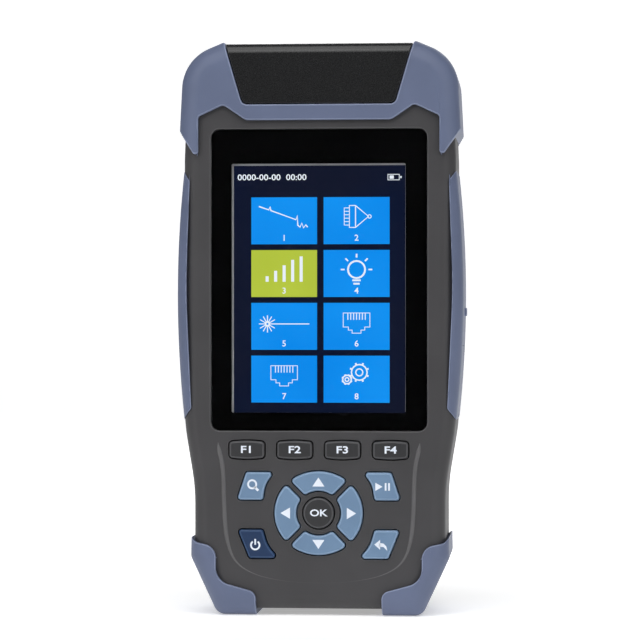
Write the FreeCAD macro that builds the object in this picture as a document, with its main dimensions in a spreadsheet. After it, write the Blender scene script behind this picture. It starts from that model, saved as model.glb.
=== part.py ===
import FreeCAD, Part
import math
import os

# Handheld optical time domain reflectometer, standing on its two foot bumpers.
# Millimetres, +Z up, the screen faces -Y, the origin is under the middle of the feet.
# Depths are measured from the plane where the two case halves meet: forward counts
# towards the screen (-Y), backward towards the back (+Y).

# Driving dimensions
SIZES = [
    ("shell_bottom", 1.8, "underside of the case between the feet"),
    ("low_half", 36.85, "half width of the case beside the keypad"),
    ("mid_half", 39.95, "half width of the case beside the screen"),
    ("head_half", 38.85, "half width of the case under the top bumper"),
    ("corner_run", 8.0, "how far the bottom corner slants in"),
    ("corner_rise", 20.8, "how far the bottom corner slants up"),
    ("flare_low", 37.3, "level where the flank starts to widen"),
    ("flare_high", 56.0, "level where the flank has widened"),
    ("front_depth", 19.5, "case front, forward of the joint"),
    ("rear_depth", 20.0, "case back, backward of the joint"),
    ("front_round", 5.0, "rounding of the front edge"),
    ("rear_round", 6.0, "rounding of the back edge"),
    ("wall", 2.2, "wall of both case halves"),
    ("rubber", 1.4, "rubber over the case"),
    ("bumper_proud", 1.5, "how far the bumpers stand out in front of the case"),
    ("bumper_back", 1.0, "how far the bumpers stand out behind the case"),
    ("grip_proud", 0.8, "how far the grips stand out in front of the case"),
    ("grip_back", 0.3, "how far the grips stand out behind the case"),
    ("grip_inset", 2.5, "how far the grips reach inwards from the flank"),
    ("neck_flare", 1.2, "how far the bumper widens down to the neck"),
    ("bumper_round", 6.0, "rounding of the bumpers' outer edge"),
    ("grip_swell", 2.05, "how far the grips stand out at their widest"),
    ("grip_low", 56.2, "lower end of the grips on the flank"),
    ("grip_high", 131.5, "upper end of the grips on the flank"),
    ("total_height", 167.8, "top of the ears"),
    ("case_drop", 1.7, "rubber on top of the towers"),
    ("shoulder_drop", 5.8, "shoulder corner below the ears"),
    ("neck_drop", 34.3, "neck below the ears"),
    ("bay_deep", 19.8, "floor of the port bay below the ears"),
    ("bar_over", 1.3, "upper edge of the bumper's cross bar over the bay's floor"),
    ("bar_under", 3.3, "lower edge of the bumper's cross bar under the bay's floor"),
    ("cover_drop", 0.5, "top of the dust cover below the ears"),
    ("hinge_drop", 4.7, "dust cover hinge below the cover's top"),
    ("wall_drop", 3.3, "wall behind the ports below the hinge"),
    ("bay_low_half", 23.36, "half width of the bay at its floor"),
    ("bay_slope", 0.295, "how much the bay widens with height"),
    ("lens_half", 31.65, "half width of the window lens"),
    ("lens_low", 54.0, "lower edge of the lens"),
    ("lens_high", 142.2, "upper edge of the lens"),
    ("lens_round", 2.7, "corner radius of the lens"),
    ("lens_thick", 1.2, "thickness of the lens"),
    ("lens_gap", 0.1, "gap round the lens and behind it"),
    ("view_low", 58.4, "lower edge of the display opening"),
    ("view_high", 133.3, "upper edge of the display opening"),
    ("view_half", 26.6, "half width of the display opening"),
    ("display_half", 27.75, "half width of the display module"),
    ("display_low", 55.8, "lower edge of the display module"),
    ("display_high", 137.4, "upper edge of the display module"),
    ("display_thick", 3.2, "thickness of the display module"),
    ("seat_gap", 0.3, "gap where a piece is clipped or glued in place"),
    ("frame_wall", 2.4, "wall of the display carrier"),
    ("frame_back", 8.5, "rear face of the display carrier"),
    ("ledge", 2.9, "ledge that the display rests on"),
    ("board_thick", 1.6, "thickness of the main board"),
    ("main_half", 30.9, "half width of the main board"),
    ("main_low", 55.4, "lower edge of the main board"),
    ("key_proud", 0.8, "how far the keys and the dust cover stand out of the case"),
    ("key_gap", 0.35, "gap between a key and its hole"),
    ("key_lip", 0.75, "how far a key's flange reaches past its edge"),
    ("key_flange", 1.0, "thickness of a key's flange"),
    ("key_travel", 0.8, "how far a key goes in"),
    ("key_rest", 0.1, "what is left under a pressed key"),
    ("key_edge", 0.35, "bevel of the key tops"),
    ("mat_boss", 1.5, "height of the mat's bosses"),
    ("mat_thick", 1.0, "thickness of the mat"),
    ("mat_half", 28.5, "half width of the mat and the key board"),
    ("mat_low", 13.0, "lower edge of the mat and the key board"),
    ("mat_high", 53.0, "upper edge of the mat and the key board"),
    ("dome_thick", 0.3, "thickness of a metal dome"),
    ("key_board_thick", 1.2, "thickness of the key board"),
    ("pad_middle", 30.1, "middle of the arrow pad"),
    ("ok_radius", 4.5, "radius of the OK key"),
    ("arrow_inner", 6.55, "inner radius of the arrow keys"),
    ("arrow_wide", 12.9, "half width of the arrow pad"),
    ("arrow_tall", 12.2, "half height of the arrow pad"),
    ("arrow_split", 1.75, "gap between two arrow keys"),
    ("f_row", 48.5, "level of the function keys"),
    ("f_pitch", 14.0, "pitch of the function keys"),
    ("f_wide", 10.3, "width of a function key"),
    ("f_tall", 4.7, "height of a function key at its ends"),
    ("f_bow", 0.45, "bow of its upper and lower edge"),
    ("boss_radius", 3.0, "radius of the case screw bosses"),
    ("boss_root", 0.4, "how far a boss is sunk into the wall"),
    ("screw_grip", 8.0, "how far the case screws reach into the front bosses"),
    ("screw_radius", 1.25, "radius of the case screws"),
    ("screw_head", 2.4, "radius of the case screw heads"),
    ("screw_head_high", 2.0, "height of the case screw heads"),
    ("screw_sink", 3.4, "depth of the case screw holes' wide part"),
    ("screw_gap", 0.2, "gap round a screw in its hole"),
    ("post_radius", 1.8, "radius of the key board's posts"),
    ("gasket_wide", 0.8, "width of the gasket between the halves"),
    ("gasket_deep", 0.9, "depth of the gasket's groove"),
    ("gasket_inset", 0.7, "distance of the gasket from the outside"),
    ("stand_half", 23.0, "half width of the folding stand"),
    ("stand_low", 38.4, "lower end of the folding stand"),
    ("stand_axis", 110.9, "level of the stand's hinge"),
    ("stand_thick", 2.6, "thickness of the folding stand"),
    ("stand_inset", 0.3, "how far the stand lies below the back"),
    ("stand_gap", 0.45, "gap round the stand"),
    ("stand_pin", 0.6, "radius of the stand's pin"),
    ("pin_fit", 0.05, "running gap of both hinge pins"),
    ("stand_floor_wall", 2.0, "wall behind the stand"),
    ("cover_axis_back", 17.0, "dust cover hinge, backward of the joint"),
    ("cover_pin", 1.0, "radius of the dust cover's pin"),
    ("barrel_radius", 2.3, "radius of the dust cover's barrel"),
    ("barrel_half", 18.0, "half length of the dust cover's barrel"),
    ("lug_gap", 0.4, "gap between barrel and lugs"),
    ("lug_long", 4.0, "length of a hinge lug"),
    ("cover_gap", 0.3, "gap between the dust cover and the bumper"),
    ("cover_wall", 2.0, "wall of the dust cover"),
    ("cover_round", 3.2, "rounding of the cover's upper front edge"),
    ("cover_tail", 1.0, "how far the cover reaches behind its hinge"),
    ("tail_half", 25.2, "half width of the cover beside its hinge"),
    ("tail_start", 10.5, "where the cover narrows towards its hinge"),
    ("skirt_back", 9.0, "rear end of the dust cover's sides"),
    ("pad_thick", 1.2, "thickness of the cover's foam pad"),
    ("plate_thick", 1.6, "thickness of the port plate"),
    ("plate_gap", 0.25, "gap round the port plate"),
    ("port_root", 5.0, "how far the fibre ports reach under the port plate"),
    ("sc_high", 12.4, "height of the tester's own port over the plate"),
    ("meter_high", 9.0, "height of the power meter port over the plate"),
    ("laser_high", 8.0, "height of the fault locator port over the plate"),
    ("ferrule_radius", 1.25, "radius of the bores for a 2.5 mm ferrule"),
    ("flap_half", 8.5, "half width of the side flaps"),
    ("flap_low", 79.0, "lower edge of the side flaps"),
    ("flap_high", 117.6, "upper edge of the side flaps"),
    ("flap_gap", 0.35, "gap round and behind the side flaps"),
    ("flap_plug", 1.5, "depth of the plug on a flap's inside"),
    ("tab_level", 88.8, "level of the flap's pull tab"),
    ("tab_tall", 2.5, "height of the pull tab"),
    ("tab_proud", 0.7, "how far the pull tab stands out"),
    ("socket_half", 6.9, "half width of the socket openings"),
    ("socket_low", 82.5, "lower edge of the socket openings"),
    ("socket_high", 114.0, "upper edge of the socket openings"),
    ("jack_deep", 2.4, "distance of the socket faces from the flank"),
    ("jack_long", 21.0, "length of a network jack"),
    ("jack_half", 6.65, "half width of a network jack"),
    ("sheet", 0.35, "sheet metal of the USB socket"),
    ("usb_up", 5.0, "USB socket over the socket opening's lower edge"),
    ("usb_wide", 9.0, "width of the USB socket"),
    ("usb_thick", 3.3, "thickness of the USB socket"),
    ("usb_long", 7.4, "length of the USB socket"),
    ("socket_off", 0.1, "USB and card sockets off the main board"),
    ("mouth_lip", 2.2, "network jack's wall below its mouth"),
    ("mouth_side", 2.0, "network jack's wall beside its mouth"),
    ("mouth_top", 4.2, "network jack's wall above its mouth"),
    ("latch_side", 5.0, "side of the network jack to its latch slot"),
    ("mouth_deep", 13.0, "depth of the network jack's mouth"),
    ("port_gap", 12.0, "half depth of the opening under the port plate"),
    ("adapter_wide", 18.0, "width of the fibre adapter's flange"),
    ("adapter_flange", 1.8, "thickness of the fibre adapter's flange"),
    ("adapter_mouth", 9.4, "width of the fibre adapter's mouth"),
    ("adapter_deep", 7.6, "depth of the fibre adapter's mouth"),
    ("sleeve_radius", 2.3, "radius of the adapter's sleeve"),
    ("sleeve_high", 6.4, "sleeve over the port plate"),
    ("meter_flange", 2.5, "thickness of the power meter's nut"),
    ("laser_flange", 2.0, "thickness of the fault locator's nut"),
    ("skirt_front", 4.0, "cover's front to the start of its side skirts"),
    ("skirt_low", 1.5, "side skirts over the cover's lower edge"),
    ("skirt_run", 6.0, "length of the skirts' rise at their back"),
    ("skirt_rise", 3.0, "height of that rise over the lower edge"),
    ("card_up", 16.9, "card socket over the socket opening's lower edge"),
    ("card_wide", 14.0, "width of the card socket"),
    ("card_thick", 1.8, "thickness of the card socket"),
    ("card_long", 15.0, "length of the card socket"),
    ("battery_half", 18.5, "half width of the battery pack"),
    ("battery_low", 13.0, "lower end of the battery pack"),
    ("battery_long", 69.0, "length of the battery pack"),
    ("battery_thick", 18.4, "thickness of the battery pack"),
    ("foot_fill", 1.2, "rubber beside the case's bottom corner"),
    ("foot_drop", 3.9, "corner of the foot below the case's corner"),
    ("jack_clear", 1.3, "gap between the network jacks and the optical unit"),
    ("engine_right", 28.0, "right side of the optical unit"),
    ("engine_low", 86.5, "lower end of the optical unit"),
    ("engine_under", 8.0, "upper end of the optical unit below the bay's floor"),
    ("engine_thick", 18.0, "thickness of the optical unit"),
]

# Sizes that follow from the driving ones, as sums of them
FOLLOWING = {
    "case_top": "total_height - case_drop",
    "shoulder_level": "total_height - shoulder_drop",
    "neck_level": "total_height - neck_drop",
    "bay_floor": "total_height - bay_deep",
    "bar_high": "bay_floor + bar_over",
    "bar_low": "bay_floor - bar_under",
    "cover_top": "total_height - cover_drop",
    "cover_axis_level": "cover_top - hinge_drop",
    "back_wall_top": "cover_axis_level - wall_drop",
    "engine_high": "bay_floor - engine_under",
    "bumper_front": "front_depth + bumper_proud",
    "bumper_rear": "rear_depth + bumper_back",
    "grip_front": "front_depth + grip_proud",
    "grip_rear": "rear_depth + grip_back",
    "key_top": "front_depth + key_proud",
    "jack_face": "mid_half - jack_deep",
    "engine_left": "jack_long - jack_face + jack_clear",
}

doc = FreeCAD.newDocument("reflectometer")
sheet = doc.addObject("Spreadsheet::Sheet", "Sizes")
size = {}
for row, (alias, number, meaning) in enumerate(SIZES, 1):
    sheet.set("A%d" % row, meaning)
    sheet.set("B%d" % row, str(number))
    sheet.setAlias("B%d" % row, alias)
    size[alias] = number
doc.recompute()

for name, formula in FOLLOWING.items():
    words = formula.split()
    size[name] = size[words[0]] + (size[words[2]] if words[1] == "+" else -size[words[2]])

nodes = []


def keep(name, thing):
    """Makes an object one of the finished pieces."""
    thing.Label = name
    nodes.append(thing)
    return thing


def cells(formula):
    """A formula in size names, as an expression on the sheet."""
    words = formula.replace("(", " ( ").replace(")", " ) ").split()
    return " ".join(
        "( " + cells(FOLLOWING[word]) + " )" if word in FOLLOWING
        else "Sizes." + word if word in size else word for word in words)


# Flat outlines, drawn in a sketch's own plane

def outline(corners):
    """Closed wire through corners (across, up, radius)."""
    count = len(corners)
    places = [FreeCAD.Vector(c[0], c[1], 0) for c in corners]
    arcs = []
    for i, (across, up, radius) in enumerate(corners):
        here = places[i]
        before = places[i - 1] - here
        after = places[(i + 1) % count] - here
        half = before.getAngle(after) / 2
        room_before = before.Length * (0.48 if corners[i - 1][2] else 0.999)
        room_after = after.Length * (0.48 if corners[(i + 1) % count][2] else 0.999)
        reach = min(radius / math.tan(half), room_before, room_after) if radius else 0
        true_radius = reach * math.tan(half)
        first = before.normalize()
        second = after.normalize()
        if reach > 1e-6:
            inward = (first + second).normalize()
            middle = here + inward * (true_radius / math.sin(half) - true_radius)
            arcs.append((here + first * reach, middle, here + second * reach))
        else:
            arcs.append((here, None, here))
    edges = []
    for i, (start, middle, end) in enumerate(arcs):
        if middle is not None:
            edges.append(Part.Arc(start, middle, end).toShape())
        following = arcs[(i + 1) % count][0]
        if (following - end).Length > 1e-6:
            edges.append(Part.makeLine(end, following))
    return Part.Wire(edges)


def both_sides(half):
    """Closed wire from the corners of its right half, bottom to top."""
    return outline(half + [(-x, z, r) for x, z, r in reversed(half)])


def rectangle(left, right, low, high, radius=0.0):
    return outline([(left, low, radius), (right, low, radius), (right, high, radius), (left, high, radius)])


def circle(across, up, radius):
    return Part.Wire(Part.makeCircle(radius, FreeCAD.Vector(across, up, 0)))


def grown(wire, by):
    """The outline moved outward, or inward for a negative distance."""
    return wire.makeOffset2D(by)


def sharp(wire, by):
    """The outline moved outward with its corners kept sharp."""
    return wire.makeOffset2D(by, 2)


def flipped(wire):
    """The outline mirrored left to right."""
    return wire.mirror(FreeCAD.Vector(0, 0, 0), FreeCAD.Vector(1, 0, 0))


def strokes(wire):
    """Sketch geometry of a wire made of lines and arcs."""
    drawn = []
    for edge in wire.Edges:
        first, last = edge.ParameterRange
        start = edge.valueAt(first)
        end = edge.valueAt(last)
        if edge.Curve.TypeId == "Part::GeomLine":
            drawn.append(Part.LineSegment(start, end))
        elif (start - end).Length < 1e-6:
            drawn.append(Part.Circle(edge.Curve.Center, FreeCAD.Vector(0, 0, 1), edge.Curve.Radius))
        else:
            drawn.append(Part.Arc(start, edge.valueAt((first + last) / 2), end))
    return drawn


# Features. A sketch on the XZ plane looks forward, so a pad from it grows forward
# and a pocket cuts backward.

def sketch_on(body, name, wires, start, plane):
    sketch = body.newObject("Sketcher::SketchObject", name)
    support = [p for p in body.Origin.OriginFeatures if p.Role == plane][0]
    sketch.AttachmentSupport = [(support, "")]
    sketch.MapMode = "FlatFace"
    for wire in wires:
        sketch.addGeometry(strokes(wire), False)
    sketch.setExpression(".AttachmentOffset.Base.z", cells(start))
    return sketch


def pad(body, name, wires, start, length, plane="XZ_Plane"):
    feature = body.newObject("PartDesign::Pad", name)
    feature.Profile = sketch_on(body, name + "_outline", wires, start, plane)
    feature.setExpression("Length", cells(length))
    body.Tip = feature
    return feature


def pocket(body, name, wires, start, length, plane="XZ_Plane"):
    """Cuts against the sketch's direction, and must take something away."""
    doc.recompute()
    before = body.Shape.Volume
    feature = body.newObject("PartDesign::Pocket", name)
    feature.Profile = sketch_on(body, name + "_outline", wires, start, plane)
    feature.setExpression("Length", cells(length))
    body.Tip = feature
    doc.recompute()
    if not body.Shape.Volume < before - 1e-6:
        raise ValueError("pocket cuts nothing: " + name)
    return feature


def fillet(body, name, radius, chosen):
    """Rounds the edges of the body that the test chooses."""
    doc.recompute()
    base = body.Tip
    picked = ["Edge%d" % i for i, edge in enumerate(base.Shape.Edges, 1) if chosen(edge)]
    feature = body.newObject("PartDesign::Fillet", name)
    feature.Base = (base, picked)
    feature.setExpression("Radius", cells(radius))
    body.Tip = feature
    doc.recompute()
    if not picked or feature.Shape.isNull() or not feature.Shape.isValid():
        raise ValueError("rounding failed: " + name)
    return feature


def chamfer(body, name, width, chosen):
    """Bevels the edges of the body that the test chooses."""
    doc.recompute()
    base = body.Tip
    picked = ["Edge%d" % i for i, edge in enumerate(base.Shape.Edges, 1) if chosen(edge)]
    feature = body.newObject("PartDesign::Chamfer", name)
    feature.Base = (base, picked)
    feature.setExpression("Size", cells(width))
    body.Tip = feature
    doc.recompute()
    if not picked or feature.Shape.isNull() or not feature.Shape.isValid():
        raise ValueError("bevel failed: " + name)
    return feature


def new_body(name):
    return doc.addObject("PartDesign::Body", name)


def prism(name, wires, start, length, plane="XZ_Plane"):
    body = new_body(name)
    pad(body, name + "_pad", wires, start, length, plane)
    return body


def cut(name, base, tool):
    feature = doc.addObject("Part::Cut", name)
    feature.Base = base
    feature.Tool = tool
    return feature


def common(name, base, tool):
    feature = doc.addObject("Part::Common", name)
    feature.Base = base
    feature.Tool = tool
    return feature


def fuse(name, parts):
    feature = doc.addObject("Part::MultiFuse", name)
    feature.Shapes = parts
    return feature


def rod(name, radius, start, end, level, back):
    """Cylinder along X with its axis at a level and a distance behind the joint."""
    thing = doc.addObject("Part::Cylinder", name)
    thing.setExpression("Radius", cells(radius))
    thing.setExpression("Height", cells("( " + end + " ) - ( " + start + " )"))
    thing.Placement.Rotation = FreeCAD.Rotation(FreeCAD.Vector(0, 1, 0), 90)
    thing.setExpression(".Placement.Base.x", cells(start))
    thing.setExpression(".Placement.Base.y", cells(back))
    thing.setExpression(".Placement.Base.z", cells(level))
    return thing


def at_depth(edge, forward):
    """Whether an edge lies in the plane at a distance forward of the joint."""
    return all(abs(v.Point.y + forward) < 1e-4 for v in edge.Vertexes)


# Case outline, with and without the port bay

def bay_half(level):
    """Half width of the port bay between the towers."""
    return size["bay_low_half"] + (level - size["bay_floor"]) * size["bay_slope"]


flank = [
    (size["low_half"] - size["corner_run"], size["shell_bottom"], 5.0),
    (size["low_half"], size["corner_rise"], 8.0),
    (size["low_half"], size["flare_low"], 60.0),
    (size["mid_half"], size["flare_high"], 60.0),
    (size["mid_half"], size["neck_level"], 40.0),
    (size["head_half"], size["shoulder_level"], 11.6),
]
full_outline = both_sides(flank + [(bay_half(size["case_top"]) + 0.5, size["case_top"], 0.5)])
notched_outline = both_sides(flank + [
    (bay_half(size["case_top"]) + 0.5, size["case_top"], 0.4),
    (bay_half(size["case_top"]), size["case_top"], 0.0),
    (size["bay_low_half"], size["bay_floor"], 0.8),
])
above = size["case_top"] + 10
bay_outline = outline([
    (-size["bay_low_half"], size["bay_floor"], 0.8),
    (size["bay_low_half"], size["bay_floor"], 0.8),
    (bay_half(above), above, 0.0),
    (-bay_half(above), above, 0.0),
])
hollow_outline = grown(both_sides(
    [(x, z, radius if z > size["neck_level"] else 0.0) for x, z, radius in flank] + [
        (bay_half(size["case_top"]) + 0.5, size["case_top"], 0.0),
        (bay_half(size["case_top"]), size["case_top"], 0.0),
        (size["bay_low_half"], size["bay_floor"], 0.0),
    ]), -size["wall"])


def core_front(name):
    """The front half of the case as a full block with its rounded edge."""
    body = new_body(name)
    pad(body, name + "_block", [full_outline], "0", "front_depth")
    fillet(body, name + "_edge", "front_round", lambda e: at_depth(e, size["front_depth"]))
    pocket(body, name + "_bay", [bay_outline], "front_depth", "front_depth")
    return body


def core_rear(name):
    """The rear half, where the wall behind the ports stays."""
    body = new_body(name)
    pad(body, name + "_block", [full_outline], "- rear_depth", "rear_depth")
    fillet(body, name + "_edge", "rear_round", lambda e: at_depth(e, -size["rear_depth"]))
    pocket(body, name + "_bay", [bay_outline], "0", "rear_depth - wall")
    high_bay = outline([
        (-bay_half(size["back_wall_top"]), size["back_wall_top"], 0.0),
        (bay_half(size["back_wall_top"]), size["back_wall_top"], 0.0),
        (bay_half(above), above, 0.0),
        (-bay_half(above), above, 0.0),
    ])
    pocket(body, name + "_high_bay", [high_bay], "0", "rear_depth")
    return body


# Key outlines

def key_shape(corners, radius):
    """A key beside the arrow pad. With sharp corners, its hollow side is straight."""
    return outline([(x, z + size["pad_middle"], radius * wide) for x, z, wide in corners
                    if radius or wide == 1.0])


def arrow_shape(turn, radius):
    """One quarter of the oval ring round the OK key, its mid direction at an angle."""
    wide = size["arrow_wide"] if turn % 180 == 0 else size["arrow_tall"]
    tall = size["arrow_tall"] if turn % 180 == 0 else size["arrow_wide"]
    inner = size["arrow_inner"]
    side = size["arrow_split"] / 2 * math.sqrt(2)
    outer_middle = FreeCAD.Vector(wide, 0, 0)
    reach = math.sqrt(1 / (1 / wide ** 2 + 1 / tall ** 2))
    outer_corner = FreeCAD.Vector(reach + side / 2, reach - side / 2, 0)
    step = (side + math.sqrt(2 * inner ** 2 - side ** 2)) / 2
    inner_corner = FreeCAD.Vector(step, step - side, 0)
    low = [FreeCAD.Vector(p.x, -p.y, 0) for p in (outer_corner, inner_corner)]
    edges = [
        Part.Arc(low[0], outer_middle, outer_corner).toShape(),
        Part.makeLine(outer_corner, inner_corner),
        Part.Arc(inner_corner, FreeCAD.Vector(inner, 0, 0), low[1]).toShape(),
        Part.makeLine(low[1], low[0]),
    ]
    wire = Part.Wire(edges)
    rounded = grown(grown(wire, -radius), radius) if radius else wire
    place = FreeCAD.Placement(
        FreeCAD.Vector(0, size["pad_middle"], 0), FreeCAD.Rotation(FreeCAD.Vector(0, 0, 1), turn))
    rounded.Placement = place.multiply(rounded.Placement)
    return rounded


def f_shape(across, radius):
    half = size["f_wide"] / 2
    end = size["f_tall"] / 2
    bow = end + size["f_bow"]
    row = size["f_row"]
    return outline([
        (across - half, row - end, radius), (across, row - bow, 30.0 * radius),
        (across + half, row - end, radius), (across + half, row + end, radius),
        (across, row + bow, 30.0 * radius), (across - half, row + end, radius),
    ])


# Corners of the keys beside the arrow pad, from its middle; the side that faces the pad
# is hollow, through a middle point that has a wide rounding
zoom_corners = [(-23.9, 3.8, 1.0), (-16.35, 3.8, 1.0), (-15.65, 8.4, 14.0), (-13.0, 11.9, 1.0),
                (-21.2, 11.9, 1.0)]
power_corners = [(-20.3, -13.2, 1.0), (-11.7, -13.2, 1.0), (-15.0, -9.7, 14.0), (-16.35, -4.9, 1.0),
                 (-23.7, -4.9, 1.0)]


def key_outlines(radius):
    """Every key's outline with its corners rounded, or sharp for a radius of 0."""
    pitch = size["f_pitch"]
    rounding = 0.8 * radius
    return {
        "key_f1": f_shape(-1.5 * pitch, radius),
        "key_f2": f_shape(-0.5 * pitch, radius),
        "key_f3": f_shape(0.5 * pitch, radius),
        "key_f4": f_shape(1.5 * pitch, radius),
        "key_zoom": key_shape(zoom_corners, rounding),
        "key_play": flipped(key_shape(zoom_corners, rounding)),
        "key_power": key_shape(power_corners, rounding),
        "key_back": flipped(key_shape(power_corners, rounding)),
        "key_right": arrow_shape(0, radius),
        "key_up": arrow_shape(90, radius),
        "key_left": arrow_shape(180, radius),
        "key_down": arrow_shape(270, radius),
        "key_ok": circle(0, size["pad_middle"], size["ok_radius"]),
    }


keys = key_outlines(1.0)
raw_keys = key_outlines(0.0)
raw_outlines = list(raw_keys.values())

# Places of the screws

screw_in = size["mid_half"] - size["boss_radius"] - 2.6
case_bosses = [(size["low_half"] - size["boss_radius"] - 1.8, size["corner_rise"] + 4.8), (screw_in, 70.4),
               (screw_in, size["neck_level"] - 5.0)]
case_places = case_bosses + [(-x, z) for x, z in case_bosses]
post_low = size["mat_low"] + 2.6
post_high = size["mat_low"] + 27.8
post_places = [(25.6, post_low), (-25.6, post_low), (26.2, post_high), (-26.2, post_high)]


def circles(places, radius):
    return [circle(x, z, radius) for x, z in places]


# Front half of the case: a moulded shell with the lens recess, the display opening,
# thirteen key holes, six screw bosses and the posts of the key board

lens_outline = rectangle(
    -size["lens_half"], size["lens_half"], size["lens_low"], size["lens_high"], size["lens_round"])
view_outline = rectangle(
    -size["view_half"], size["view_half"], size["view_low"], size["view_high"], 1.0)
front_shell = core_front("front_shell_body")
pocket(front_shell, "front_hollow", [hollow_outline], "front_depth - wall", "front_depth - wall")
pocket(front_shell, "lens_recess", [grown(lens_outline, size["lens_gap"])],
       "front_depth", "lens_thick + lens_gap")
pocket(front_shell, "display_opening", [view_outline], "front_depth", "front_depth")
pocket(front_shell, "key_holes", [grown(shape, size["key_gap"]) for shape in keys.values()],
       "front_depth", "wall")
pad(front_shell, "front_bosses", circles(case_places, size["boss_radius"]), "0",
    "front_depth - wall + boss_root")
pocket(front_shell, "pilot_holes", circles(case_places, size["screw_radius"] + size["pin_fit"]),
       "screw_grip + 1", "screw_grip + 1")
mat_back = ("( front_depth - wall - seat_gap - key_flange - key_travel - key_rest"
            " - mat_boss - mat_thick )")
board_front = mat_back + " - dome_thick"
pad(front_shell, "board_posts", circles(post_places, size["post_radius"]), board_front,
    "front_depth - wall + boss_root - ( " + board_front + " )")
floor_half = size["bay_low_half"] - 1.5 * size["wall"]
floor_gap = rectangle(-floor_half, floor_half, size["bay_floor"] - 2 * size["wall"], size["bay_floor"] + 1)
pocket(front_shell, "port_floor_opening", [floor_gap], "port_gap", "port_gap")
socket_gap_right = rectangle(
    size["mid_half"] - 2 * size["wall"], size["mid_half"] + 2, size["socket_low"], size["socket_high"])
pocket(front_shell, "socket_gap_right", [socket_gap_right, flipped(socket_gap_right)],
       "socket_half", "socket_half")
keep("front_shell", front_shell)

# Rear half of the case: the same outline with the stand's recess, counterbored screw
# holes, the gasket's groove and the two lugs of the dust cover's hinge

rear_shell = core_rear("rear_shell_body")
pocket(rear_shell, "rear_hollow", [hollow_outline], "0", "rear_depth - wall")
stand_outline = outline([
    (-size["stand_half"], size["stand_low"], 6.0), (size["stand_half"], size["stand_low"], 6.0),
    (size["stand_half"], size["stand_axis"] + size["stand_thick"] / 2, 0.0),
    (-size["stand_half"], size["stand_axis"] + size["stand_thick"] / 2, 0.0),
])
recess_outline = grown(stand_outline, size["stand_gap"])
pad(rear_shell, "recess_floor", [grown(recess_outline, size["stand_floor_wall"])],
    "- rear_depth + wall / 2", "stand_thick + stand_inset + stand_gap + stand_floor_wall - wall / 2")
pocket(rear_shell, "stand_recess", [recess_outline],
       "- rear_depth + stand_thick + stand_inset + stand_gap", "stand_thick + stand_inset + stand_gap")
finger_notch = rectangle(-8.0, 8.0, size["stand_low"] - 5, size["stand_low"] + 4, 2.0)
pocket(rear_shell, "finger_notch", [finger_notch], "- rear_depth + 1.6", "1.6")
pad(rear_shell, "rear_bosses", circles(case_places, size["boss_radius"]),
    "- rear_depth + wall - boss_root", "rear_depth - wall + boss_root")
pocket(rear_shell, "screw_holes", circles(case_places, size["screw_radius"] + size["screw_gap"]),
       "0", "rear_depth")
pocket(rear_shell, "screw_sinks", circles(case_places, size["screw_head"] + size["screw_gap"]),
       "- rear_depth + screw_sink", "screw_sink")
gasket_ring = grown(notched_outline, -size["gasket_inset"])
gasket_inner = grown(gasket_ring, -size["gasket_wide"])
pocket(rear_shell, "gasket_groove", [gasket_ring, gasket_inner], "0", "gasket_deep")
pocket(rear_shell, "rear_port_floor", [floor_gap], "0", "port_gap")
pocket(rear_shell, "rear_socket_gaps", [socket_gap_right, flipped(socket_gap_right)], "0", "socket_half")
lug_profile = outline([
    (size["cover_axis_back"] - size["barrel_radius"], size["back_wall_top"] - 4, 0.0),
    (size["cover_axis_back"] + size["barrel_radius"], size["back_wall_top"] - 4, 0.0),
    (size["cover_axis_back"] + size["barrel_radius"],
     size["cover_axis_level"] + size["barrel_radius"], size["barrel_radius"] * 0.98),
    (size["cover_axis_back"] - size["barrel_radius"],
     size["cover_axis_level"] + size["barrel_radius"], size["barrel_radius"] * 0.98),
])
pad(rear_shell, "lug_right", [lug_profile], "barrel_half + lug_gap", "lug_long", "YZ_Plane")
pad(rear_shell, "lug_left", [lug_profile], "- barrel_half - lug_gap - lug_long", "lug_long", "YZ_Plane")
cover_pin_hole = rod("cover_pin_hole", "cover_pin + pin_fit / 2", "- barrel_half - lug_gap - lug_long - 1",
                     "barrel_half + lug_gap + lug_long + 1", "cover_axis_level", "cover_axis_back")
stand_pin_hole = rod("stand_pin_hole", "stand_pin + pin_fit / 2", "- stand_half - 2", "stand_half + 2",
                     "stand_axis", "rear_depth - stand_inset - stand_thick / 2")
keep("rear_shell", cut("rear_shell_bored", cut("rear_shell_cover_bore", rear_shell, cover_pin_hole),
                       stand_pin_hole))

gasket = prism("gasket_body", [grown(gasket_ring, -size["pin_fit"]), grown(gasket_inner, size["pin_fit"])],
               "- gasket_deep + pin_fit", "gasket_deep - pin_fit")
pocket(gasket, "gasket_port_gap", [floor_gap], "0", "gasket_deep")
pocket(gasket, "gasket_socket_gaps", [socket_gap_right, flipped(socket_gap_right)], "0", "gasket_deep")
keep("shell_gasket", gasket)

# Rubber: two bumper halves over the head, a grip on each flank and a foot on each
# bottom corner, moulded over the case

front_core = core_front("front_core")
rear_core = core_rear("rear_core")

slant = bay_half(size["bar_high"]) - size["rubber"]
ear_inner = bay_half(size["total_height"]) - size["rubber"]
ear_wide = 1.05
ear_outer = ear_inner + ear_wide
head_outer = size["head_half"] + size["rubber"]
neck_outer = head_outer + size["neck_flare"]
foot_outer = size["low_half"] + size["rubber"] - 0.25
foot_flat = size["low_half"] - size["corner_run"] + size["foot_fill"]
roof_slope = (size["total_height"] - size["shoulder_level"] - 1.0) / (head_outer - ear_outer)
roof_level = size["total_height"] + roof_slope * (ear_outer - 5.0)
beyond = 8.0
leg_low = size["neck_level"] - 0.75

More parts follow.
